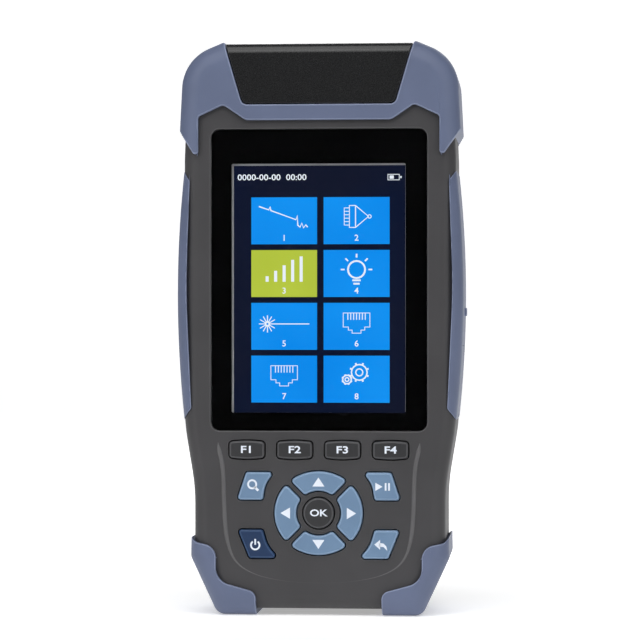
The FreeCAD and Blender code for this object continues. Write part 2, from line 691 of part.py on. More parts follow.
# Outer skin of each rubber piece, and the area of the case that it covers
top_blank = both_sides([
    (neck_outer, size["neck_level"] - beyond, 0.0),
    (neck_outer - 0.05, size["neck_level"] + 7.0, 20.0),
    (head_outer, size["shoulder_level"] + 1.0, 13.0),
    (5.0, roof_level, 0.0),
])
top_area = both_sides([
    (21.3, size["bar_low"], 2.5),
    (27.9, size["bar_high"] - 0.1, 1.6),
    (35.25, size["bar_low"] + 1.1, 1.2),
    (35.25, leg_low, 0.9),
    (neck_outer + beyond, leg_low + 1.52 * (neck_outer + beyond - 35.25), 0.0),
    (neck_outer + beyond, size["total_height"], 0.0),
    (ear_inner, size["total_height"], 0.4),
    (slant, size["bar_high"], 2.0),
])
foot_blank = outline([
    (12.0, 0.0, 0.0),
    (foot_flat, 0.0, 3.5),
    (foot_outer, size["corner_rise"] - size["foot_drop"], 3.0),
    (foot_outer - 0.2, size["corner_rise"] + beyond, 0.0),
    (12.0, size["corner_rise"] + beyond, 0.0),
])
foot_area = outline([
    (18.4, -1.0, 0.0),
    (foot_outer + beyond, -1.0, 0.0),
    (foot_outer + beyond, size["corner_rise"] + 2.0 + beyond * 0.9, 0.0),
    (36.4, size["corner_rise"] + 0.6, 1.5),
    (30.1, size["corner_rise"] - 0.5, 1.6),
    (30.1, 10.2, 5.0),
    (18.4, 7.0, 2.5),
])
grip_middle = (size["grip_low"] + size["grip_high"]) / 2
grip_rise = (size["grip_high"] - size["grip_low"]) / 2 + beyond
grip_edge = size["mid_half"] - 0.05 - size["grip_swell"] * ((grip_rise / (grip_rise - beyond)) ** 2 - 1)
grip_lean = size["mid_half"] + size["grip_swell"] - grip_edge
grip_root = size["mid_half"] - 9.5
grip_blank = outline([
    (grip_root, grip_middle - grip_rise, 0.0),
    (grip_edge, grip_middle - grip_rise, 0.0),
    (grip_edge + 2 * grip_lean, grip_middle, 0.99 * grip_rise ** 2 / (2 * grip_lean)),
    (grip_edge, grip_middle + grip_rise, 0.0),
    (grip_root, grip_middle + grip_rise, 0.0),
])
grip_face = size["mid_half"] - size["grip_inset"]
grip_area = outline([
    (grip_face, size["grip_low"] + 4.4, 1.0),
    (size["mid_half"] + beyond, size["grip_low"] - beyond * 1.15, 0.0),
    (size["mid_half"] + beyond, size["grip_high"] + beyond * 1.3, 0.0),
    (grip_face + 0.5, size["grip_high"] - 4.5, 1.2),
    (grip_face + 1.6, grip_middle + 2, 200.0),
])


def rubber_piece(name, blank, area, depth, front, upright):
    """A moulded rubber piece: its skin, within its area, less the case that it covers.

    Only the outside of the skin is rounded: edges that are upright, or slant down to the ears."""
    start = "0" if front else "- " + depth
    forward = size[depth] if front else -size[depth]
    skin = prism(name + "_skin", [blank], start, depth)
    fillet(skin, name + "_edge", "bumper_round", lambda e: at_depth(e, forward) and upright(e))
    area_block = prism(name + "_area", [area], "- bumper_rear - 1", "bumper_rear + bumper_front + 2")
    piece = common(name + "_piece", skin, area_block)
    if name.startswith("top"):
        clear_half = size["bay_low_half"] - size["rubber"]
        bay_clear = rectangle(-clear_half, clear_half, size["bar_low"] - 4, size["bar_high"] + 1.0)
        floor_block = prism(name + "_clear", [bay_clear],
                            "0" if front else "- rear_depth + wall",
                            "front_depth - wall" if front else "rear_depth - wall")
        piece = cut(name + "_floor", piece, floor_block)
    return cut(name + "_cut", piece, front_core if front else rear_core)


def not_level(edge):
    """Whether an edge of the skin runs along the outside of the object."""
    middle = edge.valueAt(sum(edge.ParameterRange) / 2)
    ends = [v.Point for v in edge.Vertexes]
    return (abs(ends[0].z - ends[1].z) > 0.01 and abs(middle.x) > 12.01
            and abs(abs(middle.x) - grip_root) > 0.01)


def top_outside(edge):
    return max(v.Point.z for v in edge.Vertexes) > size["neck_level"]


keep("top_bumper_front", rubber_piece("top_front", top_blank, top_area, "bumper_front", True, top_outside))
keep("top_bumper_rear", rubber_piece("top_rear", top_blank, top_area, "bumper_rear", False, top_outside))


def flap_shape(gap):
    """A side flap seen from the side: straight below and half round above."""
    half = size["flap_half"] + gap
    return outline([
        (-half, size["flap_low"] - gap, 2.0), (half, size["flap_low"] - gap, 2.0),
        (half, size["flap_high"] + gap, half * 0.98), (-half, size["flap_high"] + gap, half * 0.98),
    ])


for side, mirrored in (("left", True), ("right", False)):
    wires = [flipped(w) if mirrored else w for w in (foot_blank, foot_area, grip_blank, grip_area)]
    start = "- mid_half - 5" if mirrored else "mid_half - 1"
    for end, front in (("front", True), ("rear", False)):
        keep("foot_bumper_%s_%s" % (end, side), rubber_piece(
            "foot_%s_%s" % (end, side), wires[0], wires[1], "bumper_" + end, front, not_level))
        skin = rubber_piece(
            "grip_%s_%s" % (end, side), wires[2], wires[3], "grip_" + end, front, not_level)
        window = prism("grip_window_%s_%s" % (end, side), [flap_shape(size["flap_gap"])],
                       start, "6", "YZ_Plane")
        keep("grip_%s_%s" % (end, side), cut("grip_opened_%s_%s" % (end, side), skin, window))

# Window lens, display and its carrier

lens = prism("lens_body", [lens_outline], "front_depth - lens_thick", "lens_thick")
chamfer(lens, "lens_edge", "0.4", lambda e: at_depth(e, size["front_depth"]))
keep("display_lens", lens)
display = prism("display_body", [rectangle(
    -size["display_half"], size["display_half"], size["display_low"], size["display_high"], 0.5)],
    "front_depth - wall - seat_gap - display_thick", "display_thick")
keep("lcd_module", display)

frame_half = size["display_half"] + size["seat_gap"] + size["frame_wall"]
frame_outline = rectangle(-frame_half, frame_half,
                          size["display_low"] - size["seat_gap"] - 1.0,
                          size["display_high"] + size["seat_gap"] + size["frame_wall"], 2.0)
carrier = prism("carrier_body", [frame_outline], "frame_back",
                "front_depth - wall - seat_gap - frame_back")
pocket(carrier, "carrier_seat", [rectangle(
    -size["display_half"] - size["seat_gap"], size["display_half"] + size["seat_gap"],
    size["display_low"] - size["seat_gap"], size["display_high"] + size["seat_gap"], 0.5)],
    "front_depth", "wall + seat_gap + display_thick + seat_gap")
pocket(carrier, "carrier_window", [rectangle(
    -size["display_half"] + size["ledge"], size["display_half"] - size["ledge"],
    size["display_low"] + size["ledge"] + 2, size["display_high"] - size["ledge"] - 2, 2.0)],
    "front_depth", "front_depth")
keep("lcd_frame", carrier)

# Keys, each a cap with a flange behind the case wall, and the mat and board under them

key_foot = "( front_depth - wall - seat_gap - key_flange )"
for name, shape in keys.items():
    key = prism(name + "_body", [shape], key_foot, "key_top - " + key_foot)
    chamfer(key, name + "_edge", "key_edge", lambda e: at_depth(e, size["key_top"]))
    pad(key, name + "_flange", [sharp(raw_keys[name], size["key_lip"])], key_foot, "key_flange")
    keep(name, key)

post_gaps = circles(post_places, size["post_radius"] + size["seat_gap"])
mat_outline = rectangle(-size["mat_half"], size["mat_half"], size["mat_low"], size["mat_high"], 1.5)
mat = prism("mat_body", [mat_outline] + post_gaps, mat_back, "mat_thick")
pad(mat, "mat_bosses", [grown(shape, -0.9) for shape in raw_outlines], mat_back + " + mat_thick / 2",
    "mat_thick / 2 + mat_boss")
keep("keypad_mat", mat)
keep("dome_switches", prism("domes_body", [mat_outline] + post_gaps, board_front, "dome_thick"))
keep("key_board", prism("key_board_body", [mat_outline], board_front + " - key_board_thick", "key_board_thick"))
keep("main_board", prism("main_board_body", [rectangle(
    -size["main_half"], size["main_half"], size["main_low"], size["engine_high"] + 0.4, 1.0)],
                         "frame_back - board_thick", "board_thick"))

# Case screws, from the back into the front bosses

case_screws = prism("case_screw_shanks", circles(case_places, size["screw_radius"]),
                    "- rear_depth + screw_sink", "rear_depth - screw_sink + screw_grip")
pad(case_screws, "case_screw_heads", circles(case_places, size["screw_head"]),
    "- rear_depth + screw_sink - screw_head_high", "screw_head_high")
keep("case_screws", case_screws)

# Battery pack, optical unit and the sockets behind the side flaps

inner_back = "( rear_depth - stand_thick - stand_inset - stand_gap - stand_floor_wall )"
battery_back = size["rear_depth"] - size["stand_thick"] - size["stand_inset"] - size["stand_gap"]
battery_back -= size["stand_floor_wall"] + size["seat_gap"]
battery = prism("battery_body", [rectangle(
    -size["battery_half"], size["battery_half"], battery_back - size["battery_thick"], battery_back, 7.0)],
    "battery_low", "battery_long", "XY_Plane")
keep("battery_pack", battery)

engine = prism("engine_body", [rectangle(size["engine_left"], size["engine_right"], size["engine_low"],
                                         size["engine_high"], 3.0)],
               "- " + inner_back + " + seat_gap", "engine_thick")
keep("optical_engine", engine)

jack_middle = (size["socket_low"] + size["socket_high"]) / 2
jack_step = (size["socket_high"] - size["socket_low"]) / 2 - 0.3
jack_lows = (("network_jack_lower", size["socket_low"] + 0.2), ("network_jack_upper", jack_middle + 0.1))
for name, low in jack_lows:
    high = low + jack_step
    jack = prism(name + "_body", [rectangle(-size["jack_half"], size["jack_half"], low, high, 0.4)],
                 "- jack_face", "jack_long", "YZ_Plane")
    bottom = -size["jack_half"] + size["mouth_lip"]
    top = size["jack_half"] - size["mouth_top"]
    slot = size["jack_half"] - size["mouth_side"]
    sides = (low + size["mouth_side"], high - size["mouth_side"])
    latch = (low + size["latch_side"], high - size["latch_side"])
    mouth = [
        (bottom, sides[0]), (top, sides[0]), (top, latch[0]), (slot, latch[0]),
        (slot, latch[1]), (top, latch[1]), (top, sides[1]), (bottom, sides[1]),
    ]
    pocket(jack, name + "_mouth", [outline([(y, z, 0.0) for y, z in mouth])],
           "- jack_face + mouth_deep", "mouth_deep", "YZ_Plane")
    keep(name, jack)

foot = size["board_thick"] - size["frame_back"] + size["socket_off"]
usb_low = size["socket_low"] + size["usb_up"]
usb_high = usb_low + size["usb_wide"]
sheet = size["sheet"]
usb = prism("usb_body", [rectangle(foot, foot + size["usb_thick"], usb_low, usb_high, 1.5)],
            "jack_face - usb_long", "usb_long", "YZ_Plane")
pocket(usb, "usb_mouth", [rectangle(foot + sheet, foot + size["usb_thick"] - sheet,
                                    usb_low + sheet, usb_high - sheet, 1.25)],
       "jack_face", "usb_long - 1.4", "YZ_Plane")
pad(usb, "usb_tongue", [rectangle(foot + 1.3, foot + 2.0, usb_low + 1.2, usb_high - 1.2)],
    "jack_face - usb_long + 0.4", "usb_long - 1.4", "YZ_Plane")
keep("usb_socket", usb)
card_low = size["socket_low"] + size["card_up"]
card_high = card_low + size["card_wide"]
card = prism("card_body", [rectangle(foot, foot + size["card_thick"], card_low, card_high, 0.2)],
             "jack_face - card_long", "card_long", "YZ_Plane")
pocket(card, "card_mouth", [rectangle(foot + 0.5, foot + 1.3, card_low + 1.5, card_high - 1.5)],
       "jack_face", "card_long - 3", "YZ_Plane")
keep("card_socket", card)

# Optical ports on their plate, mouths up

plate_half = bay_half(size["bay_floor"]) - size["rubber"] - size["plate_gap"]
sc_place = (-12.0, -1.0)
meter_place = (4.5, -1.0)
laser_place = (16.5, -1.0)
sc_wide = 13.2
sc_deep = 9.6
meter_radius = 4.2
laser_radius = 3.2
hole_gap = 0.2


def around(place, across, deep, radius=0.0):
    """A rectangle seen from above, round a port's axis."""
    return rectangle(place[0] - across / 2, place[0] + across / 2, place[1] - deep / 2,
                     place[1] + deep / 2, radius)


port_plate = prism("port_plate_body", [
    rectangle(-plate_half, plate_half, -size["front_depth"] + size["wall"] + size["plate_gap"],
              size["rear_depth"] - size["wall"] - size["plate_gap"] - 1.2, 1.0),
    around(sc_place, sc_wide + hole_gap, sc_deep + hole_gap),
    circle(meter_place[0], meter_place[1], meter_radius + hole_gap),
    circle(laser_place[0], laser_place[1], laser_radius + hole_gap)], "bay_floor", "plate_thick", "XY_Plane")
keep("port_plate", port_plate)

sc = prism("sc_body", [around(sc_place, sc_wide, sc_deep, 0.5)], "bay_floor - port_root",
           "port_root + plate_thick + sc_high", "XY_Plane")
pad(sc, "sc_flange", [around(sc_place, size["adapter_wide"], sc_deep, 0.5)],
    "bay_floor + plate_thick", "adapter_flange", "XY_Plane")
pocket(sc, "sc_mouth", [around(sc_place, size["adapter_mouth"], size["adapter_deep"], 0.3)],
       "bay_floor + plate_thick + sc_high", "sc_high - 1", "XY_Plane")
pad(sc, "sc_sleeve", [circle(sc_place[0], sc_place[1], size["sleeve_radius"])],
    "bay_floor", "plate_thick + sleeve_high", "XY_Plane")
pocket(sc, "sc_bore", [circle(sc_place[0], sc_place[1], size["ferrule_radius"])],
       "bay_floor + plate_thick + sleeve_high + 0.6", "sleeve_high + plate_thick", "XY_Plane")
keep("otdr_adapter", sc)

meter = prism("meter_body", [circle(meter_place[0], meter_place[1], meter_radius)],
              "bay_floor - port_root", "port_root + plate_thick + meter_high", "XY_Plane")
pad(meter, "meter_flange", [circle(meter_place[0], meter_place[1], meter_radius + 1.8)],
    "bay_floor + plate_thick", "meter_flange", "XY_Plane")
pocket(meter, "meter_bore", [circle(meter_place[0], meter_place[1], size["ferrule_radius"])],
       "bay_floor + plate_thick + meter_high", "meter_high", "XY_Plane")
keep("power_meter_port", meter)

laser = prism("laser_body", [circle(laser_place[0], laser_place[1], laser_radius)],
              "bay_floor - port_root", "port_root + plate_thick + laser_high", "XY_Plane")
pad(laser, "laser_flange", [circle(laser_place[0], laser_place[1], laser_radius + 1.2)],
    "bay_floor + plate_thick", "laser_flange", "XY_Plane")
pocket(laser, "laser_bore", [circle(laser_place[0], laser_place[1], size["ferrule_radius"])],
       "bay_floor + plate_thick + laser_high", "laser_high", "XY_Plane")
keep("fault_locator_port", laser)

# Dust cover over the ports: a lid with a front wall and flared sides, turning on a
# steel pin behind the towers

cover_low = size["bar_high"] + size["cover_gap"]


def cover_half(level):
    return bay_half(level) - size["rubber"] - size["cover_gap"]


cover_front_wire = outline([
    (-cover_half(cover_low), cover_low, 2.0), (cover_half(cover_low), cover_low, 2.0),
    (cover_half(size["cover_top"]), size["cover_top"], 0.0),
    (-cover_half(size["cover_top"]), size["cover_top"], 0.0),
])
wall_in = size["cover_wall"]
cover_inner_wire = outline([
    (-cover_half(cover_low) + wall_in, cover_low - 5, 0.0),
    (cover_half(cover_low) - wall_in, cover_low - 5, 0.0),
    (cover_half(size["cover_top"]) - wall_in, size["cover_top"] - wall_in, 0.5),
    (-cover_half(size["cover_top"]) + wall_in, size["cover_top"] - wall_in, 0.5),
])
cover = prism("cover_body", [cover_front_wire], "- cover_axis_back - cover_tail",
              "cover_axis_back + cover_tail + key_top")
fillet(cover, "cover_edge", "cover_round", lambda e: at_depth(e, size["key_top"])
       and min(v.Point.z for v in e.Vertexes) > size["cover_top"] - 0.5)
pocket(cover, "cover_hollow", [cover_inner_wire], "key_top - cover_wall",
       "key_top - cover_wall + cover_axis_back + cover_tail")
skirt_start = -size["key_top"] + size["skirt_front"]
side_profile = outline([
    (skirt_start, cover_low - 5, 0.0),
    (size["cover_axis_back"] + 8, cover_low - 5, 0.0),
    (size["cover_axis_back"] + 8, size["cover_top"] - wall_in, 0.0),
    (size["skirt_back"], size["cover_top"] - wall_in, 0.0),
    (size["skirt_back"] - size["skirt_run"], cover_low + size["skirt_rise"], 6.0),
    (skirt_start, cover_low + size["skirt_low"], 0.0),
])
pocket(cover, "cover_sides", [side_profile], "40", "80", "YZ_Plane")
tail = [
    outline([(x * size["tail_half"], size["cover_axis_back"] + 6, 0.0),
             (x * 40.0, size["cover_axis_back"] + 6, 0.0), (x * 40.0, size["tail_start"], 0.0),
             (x * (size["tail_half"] + 1.5), size["tail_start"], 0.0),
             (x * size["tail_half"], size["tail_start"] + 1.5, 0.0)])
    for x in (1, -1)]
pocket(cover, "cover_tail_corners", tail, "cover_top + 1", "cover_wall + 4", "XY_Plane")
web = rectangle(size["cover_axis_back"] - size["barrel_radius"], size["cover_axis_back"] + size["cover_tail"],
                size["cover_axis_level"], size["cover_top"] - wall_in / 2)
pad(cover, "cover_web", [web], "- barrel_half", "barrel_half * 2", "YZ_Plane")
pad(cover, "cover_barrel", [circle(size["cover_axis_back"], size["cover_axis_level"], size["barrel_radius"])],
    "- barrel_half", "barrel_half * 2", "YZ_Plane")
pocket(cover, "cover_bore", [circle(size["cover_axis_back"], size["cover_axis_level"],
                                    size["cover_pin"] + size["pin_fit"])],
       "barrel_half", "barrel_half * 2", "YZ_Plane")
keep("dust_cover", cover)
keep("cover_pad", prism("cover_pad_body", [rectangle(-20.0, 20.0, -size["key_top"] + size["cover_wall"] + 1,
                                                     8.0, 2.0)],
                        "cover_top - cover_wall - pad_thick", "pad_thick", "XY_Plane"))
keep("cover_hinge_pin", rod("cover_pin_rod", "cover_pin", "- barrel_half - lug_gap - lug_long",
                            "barrel_half + lug_gap + lug_long", "cover_axis_level", "cover_axis_back"))

# Folding stand in the back, on its own pin

stand = prism("stand_body", [stand_outline], "- rear_depth + stand_inset", "stand_thick")
fillet(stand, "stand_round", "stand_thick / 2 - 0.01", lambda e: (
    min(v.Point.z for v in e.Vertexes) > size["stand_axis"] + size["stand_thick"] / 2 - 0.01
    and abs(e.Vertexes[0].Point.x - e.Vertexes[1].Point.x) > 1))
stand_window = rectangle(-size["stand_half"] + 9, size["stand_half"] - 9, size["stand_low"] + 12,
                         size["stand_axis"] - 12, 3.0)
pocket(stand, "stand_opening", [stand_window], "0", "rear_depth")
keep("kickstand", cut("stand_bored", stand, rod(
    "stand_bore", "stand_pin + pin_fit", "- stand_half - 1", "stand_half + 1", "stand_axis",
    "rear_depth - stand_inset - stand_thick / 2")))
keep("stand_hinge_pin", rod("stand_pin_rod", "stand_pin", "- stand_half - 1.9", "stand_half + 1.9",
                            "stand_axis", "rear_depth - stand_inset - stand_thick / 2"))

# Rubber flaps over the side sockets, hinged at their upper end

for side, sign in (("left", -1), ("right", 1)):
    blank = prism("flap_blank_" + side, [flipped(grip_blank) if sign < 0 else grip_blank],
                  "- grip_rear", "grip_rear + grip_front")
    flap_start = "mid_half + flap_gap" if sign > 0 else "- mid_half - flap_gap - 6"
    window = prism("flap_window_" + side, [flap_shape(0.0)], flap_start, "6", "YZ_Plane")
    face = common("flap_face_" + side, blank, window)
    plug_wire = rectangle(-size["socket_half"] + 0.6, size["socket_half"] - 0.6,
                          size["socket_low"] + 0.9, size["socket_high"] - 0.9, 2.5)
    plug_start = ("mid_half + flap_gap - flap_plug - 0.5" if sign > 0 else "- mid_half - flap_gap - 0.4")
    plug = prism("flap_plug_" + side, [plug_wire], plug_start, "flap_plug + 0.9", "YZ_Plane")
    tab_wire = rectangle(-3.0, 3.0, size["tab_level"] - size["tab_tall"] / 2,
                         size["tab_level"] + size["tab_tall"] / 2, 1.0)
    tab_start = "mid_half + 1" if sign > 0 else "- mid_half - grip_swell - tab_proud"
    tab = prism("flap_tab_" + side, [tab_wire], tab_start, "grip_swell + tab_proud - 1", "YZ_Plane")
    keep("side_flap_" + side, fuse("flap_" + side, [face, plug, tab]))

doc.recompute()

# Every object must have computed, and every piece must be a sound solid
for thing in doc.Objects:
    if "Invalid" in thing.State or "Error" in thing.State:
        raise ValueError("failed: " + thing.Name + " " + str(thing.State))
for thing in nodes:
    if thing.Shape.isNull() or not thing.Shape.isValid() or not thing.Shape.Solids:
        raise ValueError("not a sound solid: " + thing.Label)

os.makedirs("parts", exist_ok=True)
for thing in nodes:
    thing.Shape.exportStep("parts/" + thing.Label + ".step")
print(len(nodes), "pieces")
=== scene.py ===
from math import cos, pi, radians, sin

import bpy
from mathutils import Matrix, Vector


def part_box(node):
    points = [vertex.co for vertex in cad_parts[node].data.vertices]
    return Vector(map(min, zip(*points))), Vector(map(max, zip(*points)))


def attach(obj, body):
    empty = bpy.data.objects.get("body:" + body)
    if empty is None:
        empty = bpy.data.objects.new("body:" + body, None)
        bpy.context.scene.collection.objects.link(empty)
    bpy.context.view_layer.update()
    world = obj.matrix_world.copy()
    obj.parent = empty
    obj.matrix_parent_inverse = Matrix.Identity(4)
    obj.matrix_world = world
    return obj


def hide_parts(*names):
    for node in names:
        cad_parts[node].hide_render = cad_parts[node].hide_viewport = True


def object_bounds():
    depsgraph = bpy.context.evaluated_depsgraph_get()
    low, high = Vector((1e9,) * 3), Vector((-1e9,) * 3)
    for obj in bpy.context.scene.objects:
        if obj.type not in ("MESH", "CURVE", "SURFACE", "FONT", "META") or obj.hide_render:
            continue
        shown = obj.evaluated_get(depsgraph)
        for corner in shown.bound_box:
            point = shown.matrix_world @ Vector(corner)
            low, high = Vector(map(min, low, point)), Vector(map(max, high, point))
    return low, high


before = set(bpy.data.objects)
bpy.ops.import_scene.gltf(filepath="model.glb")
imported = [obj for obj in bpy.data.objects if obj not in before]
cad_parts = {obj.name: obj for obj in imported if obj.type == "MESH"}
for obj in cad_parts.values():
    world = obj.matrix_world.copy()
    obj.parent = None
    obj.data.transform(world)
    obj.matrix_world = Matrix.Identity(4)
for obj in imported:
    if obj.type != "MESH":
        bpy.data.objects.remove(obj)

cad_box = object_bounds()

# Studio
# The tester stands on a plain pale sweep of paper, lit by large soft boxes at both sides, in front,
# overhead and behind. The camera stands level with the middle of the tester and a little to its right.
turn = radians(4.7)
reach = 0.797
aim = (-0.0012, 0.0, 0.0864)
bpy.ops.object.select_all(action="DESELECT")
bpy.ops.object.camera_add(
    location=(aim[0] + reach * sin(turn), aim[1] - reach * cos(turn), aim[2]),
    rotation=(pi / 2, 0, turn))
camera = bpy.context.object
camera.data.lens = 150
camera.data.sensor_width = 36
camera.data.clip_start = 0.01
bpy.context.scene.camera = camera
bpy.context.scene.view_settings.view_transform = "Standard"

studio_air = bpy.context.scene.world or bpy.data.worlds.new("studio_air")
bpy.context.scene.world = studio_air
studio_air.use_nodes = True
air = studio_air.node_tree
dim_air = air.nodes["Background"]
dim_air.inputs["Color"].default_value = (0.92, 0.95, 1.0, 1)
dim_air.inputs["Strength"].default_value = 0.11
white_air = air.nodes.new("ShaderNodeBackground")
white_air.inputs["Color"].default_value = (1, 1, 1, 1)
seen = air.nodes.new("ShaderNodeLightPath")
either = air.nodes.new("ShaderNodeMixShader")
air.links.new(seen.outputs["Is Camera Ray"], either.inputs[0])
air.links.new(dim_air.outputs["Background"], either.inputs[1])
air.links.new(white_air.outputs["Background"], either.inputs[2])
air.links.new(either.outputs["Shader"], air.nodes["World Output"].inputs["Surface"])

tester_middle = Vector((0, 0, 0.09))


def soft_box(name, place, wide, high, power):
    """A soft box at that place, turned to face the middle of the tester."""
    bpy.ops.object.light_add(type="AREA", location=place)
    lamp = bpy.context.object
    lamp.name = name
    lamp.data.shape = "RECTANGLE"
    lamp.data.size = wide
    lamp.data.size_y = high
    lamp.data.energy = power
    lamp.rotation_euler = (tester_middle - lamp.location).to_track_quat("-Z", "Y").to_euler()


soft_box("soft_box_left", (-0.75, -0.75, 0.45), 0.5, 0.9, 3.4)
soft_box("soft_box_right", (0.85, -0.65, 0.35), 0.5, 0.9, 2.6)
soft_box("soft_box_top", (0.0, -0.5, 1.0), 1.2, 0.9, 7.2)
soft_box("soft_box_front", (0.0, -0.8, 0.68), 0.9, 0.3, 1.7)
soft_box("soft_box_back", (0.2, 1.0, 0.7), 0.9, 0.5, 2.5)


def select_edges(piece, wanted):
    """Selects the edges for which wanted(edge, ends) holds and nothing else, and stays in edit mode."""
    bpy.ops.object.mode_set(mode="EDIT")
    bpy.ops.mesh.select_all(action="DESELECT")
    bpy.ops.object.mode_set(mode="OBJECT")
    for edge in piece.data.edges:
        edge.select = wanted(edge, [piece.data.vertices[v].co for v in edge.vertices])
    bpy.ops.object.mode_set(mode="EDIT")


paper_front = -0.5
paper_back = 5.5
paper_rise = 4.0
paper_bend = 1.2
paper_middle = (0, (paper_front + paper_back) / 2, 0)
bpy.ops.mesh.primitive_plane_add(size=paper_back - paper_front, location=paper_middle)
bpy.ops.object.transform_apply(location=True)
sweep = bpy.context.object
sweep.name = "paper_sweep"
select_edges(sweep, lambda edge, ends: all(end.y > paper_back - 0.1 for end in ends))
bpy.ops.mesh.extrude_region_move(TRANSFORM_OT_translate={"value": (0, 0, paper_rise)})
select_edges(sweep, lambda edge, ends: all(end.y > paper_back - 0.1 and end.z < 0.01 for end in ends))
bpy.ops.mesh.bevel(offset=paper_bend, segments=16, affect="EDGES")
bpy.ops.object.mode_set(mode="OBJECT")
bpy.ops.object.shade_smooth()

paper = bpy.data.materials.new("studio_paper")
paper.use_nodes = True
paper_finish = paper.node_tree.nodes["Principled BSDF"]
paper_finish.inputs["Base Color"].default_value = (0.93, 0.93, 0.93, 1)
paper_finish.inputs["Roughness"].default_value = 0.9
paper_finish.inputs["Specular IOR Level"].default_value = 0.1
paper_finish.inputs["Emission Color"].default_value = (1, 1, 1, 1)
# The paper glows of its own, from nothing 0.3 m in front of the tester to bright 0.3 m behind it: painted
# light.
paper_place = paper.node_tree.nodes.new("ShaderNodeTexCoord")
paper_axes = paper.node_tree.nodes.new("ShaderNodeSeparateXYZ")
paper_glow = paper.node_tree.nodes.new("ShaderNodeMapRange")
paper_glow.inputs["From Min"].default_value = -0.3
paper_glow.inputs["From Max"].default_value = 0.3
paper_glow.inputs["To Min"].default_value = 0.0
paper_glow.inputs["To Max"].default_value = 0.75
paper.node_tree.links.new(paper_place.outputs["Object"], paper_axes.inputs[0])
paper.node_tree.links.new(paper_axes.outputs["Y"], paper_glow.inputs["Value"])
paper.node_tree.links.new(paper_glow.outputs["Result"], paper_finish.inputs["Emission Strength"])
sweep.data.materials.append(paper)

# Rear half of the case
# A moulded half shell of dark grey plastic with a fine spark-eroded grain, which carries the
# stand's recess, the hinge lugs of the dust cover and the six deep screw holes.


def moulded(name, colour, shade, rough, grain, shine=0.3):
    """A moulded surface: fine grain and a faint clouding of its colour."""
    material = bpy.data.materials.new(name)
    material.use_nodes = True
    nodes = material.node_tree.nodes
    link = material.node_tree.links.new
    finish = nodes["Principled BSDF"]
    place = nodes.new("ShaderNodeTexCoord")
    cloud = nodes.new("ShaderNodeTexNoise")
    cloud.inputs["Scale"].default_value = 55
    cloud.inputs["Detail"].default_value = 3
    link(place.outputs["Object"], cloud.inputs["Vector"])
    tone = nodes.new("ShaderNodeValToRGB")
    tone.color_ramp.elements[0].position = 0.3
    tone.color_ramp.elements[1].position = 0.7
    tone.color_ramp.elements[0].color = (*shade, 1)
    tone.color_ramp.elements[1].color = (*colour, 1)
    link(cloud.outputs["Fac"], tone.inputs["Fac"])
    link(tone.outputs["Color"], finish.inputs["Base Color"])
    finish.inputs["Specular IOR Level"].default_value = shine
    speck = nodes.new("ShaderNodeTexNoise")
    speck.inputs["Scale"].default_value = grain
    speck.inputs["Detail"].default_value = 2
    link(place.outputs["Object"], speck.inputs["Vector"])
    gloss = nodes.new("ShaderNodeMapRange")
    gloss.inputs["To Min"].default_value = rough - 0.06
    gloss.inputs["To Max"].default_value = rough + 0.06
    link(speck.outputs["Fac"], gloss.inputs["Value"])
    link(gloss.outputs["Result"], finish.inputs["Roughness"])
    bump = nodes.new("ShaderNodeBump")
    bump.inputs["Strength"].default_value = 0.22
    bump.inputs["Distance"].default_value = 0.00006
    link(speck.outputs["Fac"], bump.inputs["Height"])
    link(bump.outputs["Normal"], finish.inputs["Normal"])
    return material


sharp_corner = 38
soft_corner = 34


def smooth_over(piece, angle):
    """Smooth shading over edges up to that angle, with the broad faces kept truly flat."""
    bpy.ops.object.shade_smooth_by_angle(angle=radians(angle))
    flat = piece.modifiers.new("flat_faces", "WEIGHTED_NORMAL")
    flat.weight = 100
    flat.keep_sharp = True
    bpy.ops.object.modifier_apply(modifier="flat_faces")


def cut_away(piece, cutter):
    """Cuts the cutter's shape out of the piece."""
    bpy.context.view_layer.objects.active = piece
    cut = piece.modifiers.new("cut", "BOOLEAN")
    cut.object = cutter
    cut.solver = "EXACT"
    bpy.ops.object.modifier_apply(modifier="cut")


def from_mould(node, body, material, ease=0.0, rim=None, weld=0.000004, trim=None):
    """A copy of a moulded piece: surfaces joined, trimmed, sharp edges eased, the eased edges in the rim
    material, a lighter painted highlight.
    """
    bpy.ops.object.select_all(action="DESELECT")
    piece = bpy.data.objects.new(node + "_moulding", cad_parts[node].data.copy())
    bpy.context.collection.objects.link(piece)
    bpy.context.view_layer.objects.active = piece
    piece.select_set(True)
    bpy.ops.object.mode_set(mode="EDIT")
    bpy.ops.mesh.customdata_custom_splitnormals_clear()
    bpy.ops.mesh.select_all(action="SELECT")
    bpy.ops.mesh.remove_doubles(threshold=weld)
    bpy.ops.mesh.dissolve_limited(angle_limit=radians(0.6))
    bpy.ops.object.mode_set(mode="OBJECT")
    if trim:
        cut_away(piece, trim)
    piece.data.materials.clear()
    piece.data.materials.append(material)
    # The rim material is a lighter painted highlight for the eased edges.
    if rim:
        piece.data.materials.append(rim)
    if ease:
        eased = piece.modifiers.new("eased_edges", "BEVEL")
        eased.width = ease
        eased.segments = 3
        eased.limit_method = "ANGLE"
        eased.angle_limit = radians(sharp_corner)
        eased.material = 1 if rim else -1
        eased.use_clamp_overlap = False
        bpy.ops.object.modifier_apply(modifier="eased_edges")
    smooth_over(piece, soft_corner)
    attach(piece, body)
    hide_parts(node)
    return piece


shell_plastic = moulded("shell_plastic", (0.0535, 0.052, 0.0548), (0.0455, 0.0445, 0.0465), 0.5, 2600)
from_mould("rear_shell", "case", shell_plastic)

# Gasket
# A cord of black silicone rubber that lies in a groove of the rear half and is squeezed shut
# by the front half.


def refinish(node, material):
    """Gives a piece of the frame its real finish."""
    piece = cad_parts[node]
    for slot in piece.material_slots:
        slot.material = material


black_silicone = moulded("black_silicone", (0.012, 0.012, 0.013), (0.008, 0.008, 0.009), 0.6, 3000)
refinish("shell_gasket", black_silicone)

